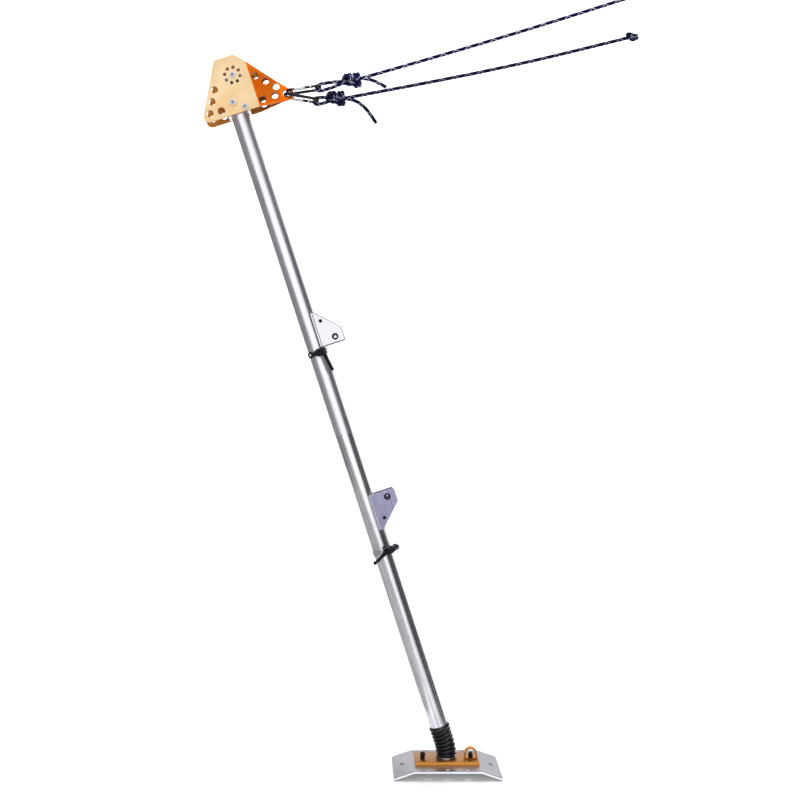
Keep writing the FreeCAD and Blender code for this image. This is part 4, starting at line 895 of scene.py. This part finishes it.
# pieces turned about the screw, and about a line out from the pole; rows as in lathe
screwPieces = {
    "ScrewGrip": {"rows": [(7.4, 6.6), (10, 6.6), (11, 5.6), (11, 4.5), (11, 3), (11, 1.2), (9.8, 0),
                           (6.2, -0.5), (6.2, 0.5), (7.4, 0.5), (7.4, 6.6)],
                  "sides": 64, "slot": "black_plastic", "flutes": (1.4, 5.2, 0.08, 14)},
    "ScrewCap": {"rows": [(0, -0.9), (2.6, -0.8), (4.6, -0.3), (4.8, 0.2), (0, 0.2)],
                 "sides": 32, "slot": "zinc_steel"},
}
bossPieces = {
    "GripBoss": {"rows": [(6.8, 8.0), (6.8, 11.6), (6.0, 12.4), (4.3, 12.4), (4.0, 11.8), (0, 11.8)],
                 "sides": 40, "slot": "black_plastic"},
    "GripPin": {"rows": [(4.1, 11.7), (4.1, 12.7), (3.4, 13.2), (1.6, 13.3), (1.4, 12.7), (0, 12.7)],
                "sides": 32, "slot": "zinc_steel"},
}


def leverArm(name, origin, axis, armWay):
    side = axis.cross(armWay).normalized()
    across = armWay.cross(side).normalized()
    bm = bmesh.new()
    block = bmesh.ops.create_cube(bm, size=1.0)["verts"]
    bmesh.ops.scale(bm, vec=(lever["armWide"] * mm, lever["armDeep"] * mm, lever["arm"] * mm), verts=block)
    bmesh.ops.translate(bm, vec=(0, 0, lever["arm"] / 2 * mm), verts=block)
    tips = [vert for vert in bm.verts if vert.co.z > lever["arm"] / 2 * mm]
    taper = (lever["tipWide"] / lever["armWide"], lever["tipDeep"] / lever["armDeep"], 1)
    bmesh.ops.scale(bm, vec=taper, verts=tips)
    broad = [face for face in bm.faces if abs(face.normal.y) > lever["squarely"]]
    for face in broad:
        bmesh.ops.inset_region(bm, faces=[face], thickness=lever["grooveInset"] * mm, depth=0,
                               use_even_offset=True)
        pushed = -face.normal * lever["groove"] * mm
        sunk = bmesh.ops.extrude_discrete_faces(bm, faces=[face])["faces"]
        bmesh.ops.translate(bm, vec=pushed, verts=list({vert for part in sunk for vert in part.verts}))
    bmesh.ops.recalc_face_normals(bm, faces=bm.faces)
    rims = [edge for edge in bm.edges if edge.is_manifold and edge.calc_face_angle(0) > lever["sharp"]]
    bmesh.ops.bevel(bm, geom=rims, offset=lever["round"] * mm, affect="EDGES",
                    segments=lever["roundSegments"], profile=0.5, material=-1, clamp_overlap=True)
    bmesh.ops.transform(bm, matrix=frameMatrix(origin, across, side, armWay), verts=bm.verts)
    arm = meshObject(name, bm)
    shadeSmooth(arm, lever["smooth"])
    return arm


def ballProfile(radius, centre, start, end, steps):
    rows = []
    for step in range(steps + 1):
        turn = math.radians(start + (end - start) * step / steps)
        rows.append((max(0.0, radius * math.cos(turn)), centre + radius * math.sin(turn)))
    return rows


def turnPieces(kind, pieces, place, axis, finishes, ending=""):
    for name, piece in pieces.items():
        turned = lathe(kind + name + ending, piece["rows"], place, axis, piece["sides"], piece.get("flutes"))
        settle(turned, kind + "_bracket", finishes[piece["slot"]], piece["slot"])


def hubProfile():
    start, end = lever["hubStart"], lever["hubStart"] + lever["hubLength"]
    radius, chamfer = lever["hubRadius"], lever["hubChamfer"]
    plain = lever["hubLength"] - chamfer - lever["hubCrown"][0][1]
    rows = [(lever["hubBore"], start), (radius - chamfer, start), (radius, start + chamfer)]
    for band in range(1, lever["hubBands"]):
        rows.append((radius, start + chamfer + band * plain / lever["hubBands"]))
    rows += [(radius - inward, end - drop) for inward, drop in lever["hubCrown"]]
    flutes = (start + lever["fluteStart"], end - lever["fluteEnd"], lever["fluteDepth"], lever["flutes"])
    return rows + [(0, end)], flutes


def buildLevers(finishes):
    splay = math.radians(lever["splay"])
    material = finishes["black_plastic"]
    hubRows, flutes = hubProfile()
    footRows = ballProfile(lever["footRadius"], 0, -90, 90, lever["footSteps"])
    for kind in kinds:
        place, axis = jointPlace(kind + "_lever_turn")
        fromPole = place - pivot
        outward = (fromPole - poleUp * fromPole.dot(poleUp)).normalized()
        swing = -poleUp
        if kind == "lower":
            turn = math.radians(lever["lowerTurn"])
            swing = -math.sin(turn) * outward + math.cos(turn) * poleUp
        armWay = (swing * math.cos(splay) + axis * math.sin(splay)).normalized()
        hub = lathe(kind + "LeverHub", hubRows, place, axis, lever["hubSides"], flutes)
        settle(hub, kind + "_lever", material, "black_plastic", kind + "_clamp_lever")
        root = place + axis * lever["root"] * mm
        arm = leverArm(kind + "LeverArm", root, axis, armWay)
        settle(arm, kind + "_lever", material, "black_plastic", kind + "_clamp_lever")
        tip = root + armWay * lever["arm"] * mm
        foot = lathe(kind + "LeverFoot", footRows, tip, armWay, lever["footSides"])
        settle(foot, kind + "_lever", material, "black_plastic", kind + "_clamp_lever")
        capAt = place - axis * lever["headFace"] * mm
        turnPieces(kind, screwPieces, capAt, axis, finishes)
        turnPieces(kind, bossPieces, capAt + axis * lever["bossInset"] * mm, outward, finishes)
    print("levers built")


# bush rings, washers and weld seams on the brackets, darker dishes on the bolt heads as painted shade of their
# sockets

marks = {"pinAcross": 69.0, "pinRise": 19.0, "edge": {"upper": 1318.0, "lower": 830.0}, "face": 30.6,
         "bolts": [(-8, 40), (24, 16), (17, 122)], "headBase": 2088.1, "headFace": 43.5}
pinPieces = {
    "PinRing": {"rows": [(4.55, -1.4), (4.9, -1.4), (5.0, 0.2), (4.9, 0.4), (4.7, 0.4), (4.55, 0.1),
                         (4.55, -1.4)],
                "sides": 40, "slot": "zinc_steel"},
    "PinWasher": {"rows": [(8.6, -1.6), (10.3, -1.6), (10.3, -0.5), (9.9, -0.2), (8.6, -0.2), (8.6, -1.6)],
                  "sides": 40, "slot": "black_plastic"},
}
socketShadeDisc = {"rows": [(0, 0.05), (4.2, 0.05), (4.6, 0.25), (5.6, 0.3), (6.0, 0.0), (5.8, -0.4)], "sides": 24}
seams = {
    "upper": {"across": 21.5, "radius": 1.1, "way": 1}, "lower": {"across": 16.8, "radius": 1.9, "way": -1},
    "start": 4.0, "end": 108.0, "ripple": 4.0, "rippleSteps": 4, "least": 0.72, "swell": 0.28, "face": 29.0,
    "sides": 14,
}


def onPole(across, along, depth):
    return pivot + (poleAcross * across + poleUp * along + Vector((0, depth, 0))) * mm


def seamProfile(radius):
    steps, pitch = seams["rippleSteps"], seams["ripple"]
    ripples = round((seams["end"] - seams["start"]) / pitch)
    rows = [(0, seams["start"])]
    for step in range(ripples * steps + 1):
        swell = seams["least"] + seams["swell"] * abs(math.sin(math.pi * step / steps))
        rows.append((radius * swell, seams["start"] + step * pitch / steps))
    return rows + [(0, rows[-1][1])]


def buildMarks(finishes):
    for kind, edge in marks["edge"].items():
        seam = seams[kind]
        along = edge + marks["pinRise"] if kind == "upper" else edge - marks["pinRise"]
        for side, name in ((-1, "Front"), (1, "Rear")):
            place = onPole(marks["pinAcross"], along, side * marks["face"])
            turnPieces(kind, pinPieces, place, Vector((0, side, 0)), finishes, name)
            place = onPole(seam["across"], edge, side * seams["face"])
            bead = lathe(kind + "Seam" + name, seamProfile(seam["radius"]), place, poleUp * seam["way"],
                         seams["sides"])
            settle(bead, kind + "_bracket", finishes[kind + "_seam"], "machined_aluminium")
    toward = Vector((0, -1, 0))
    # painted shade: a shallow dish of darker steel on each bolt head stands for the dark of its socket
    for index, (across, rise) in enumerate(marks["bolts"]):
        place = onPole(across, marks["headBase"] + rise, -marks["headFace"])
        socket = lathe("socketShadeDisc" + str(index), socketShadeDisc["rows"], place, toward, socketShadeDisc["sides"])
        settle(socket, "upper_pole", finishes["forged_steel"], "forged_steel")
    print("bush rings, washers, seams and bolt sockets built")


# foot knob: ball-topped screw with a knurled skirt

knob = {
    "stem": 7.0, "stemHeight": 9.0, "neck": 4.6, "neckDrop": 0.6, "ball": 8.5, "ballRise": 13.0,
    "ballFrom": -55, "ballSteps": 14, "shank": 5.0, "tipChamfer": 0.8, "seatChamfer": 0.6,
    "shoulder": (0.8, 1.2), "lift": 0.1, "bands": (0.2, 0.35, 0.5, 0.65), "fluteStart": 1, "fluteEnd": 6.5,
    "fluteDepth": 0.08, "flutes": 15, "sides": 60,
}


def buildKnob(finishes):
    low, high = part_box("foot_knob")
    place, axis = jointPlace("knob_turn")
    tip, shank, chamfer = low.z / mm, knob["shank"], knob["tipChamfer"]
    seat = high.z / mm - knob["ballRise"] - knob["ball"] + knob["lift"]
    stem, top = knob["stem"], seat + knob["stemHeight"]
    inward, drop = knob["shoulder"]
    profile = [(0, tip), (shank - chamfer, tip), (shank, tip + chamfer), (shank, seat),
               (stem - knob["seatChamfer"], seat), (stem, seat + knob["seatChamfer"])]
    profile += [(stem, seat + share * knob["stemHeight"]) for share in knob["bands"]]
    profile += [(stem - inward, top - drop), (knob["neck"], top - knob["neckDrop"])]
    profile += ballProfile(knob["ball"], seat - knob["lift"] + knob["ballRise"], knob["ballFrom"], 90,
                           knob["ballSteps"])
    flutes = (seat + knob["fluteStart"], seat + knob["fluteEnd"], knob["fluteDepth"], knob["flutes"])
    piece = lathe("footKnob", profile, Vector((place.x, place.y, 0)), axis, knob["sides"], flutes)
    settle(piece, "knob", finishes["black_steel"], "black_steel", "foot_knob")
    print("foot knob built")


buildStudio()
finishes = buildFinishes()
dressNodes(finishes)
buildBoot(finishes)
buildGuys(finishes)
buildSleeves(finishes)
buildLevers(finishes)
buildKnob(finishes)
buildMarks(finishes)
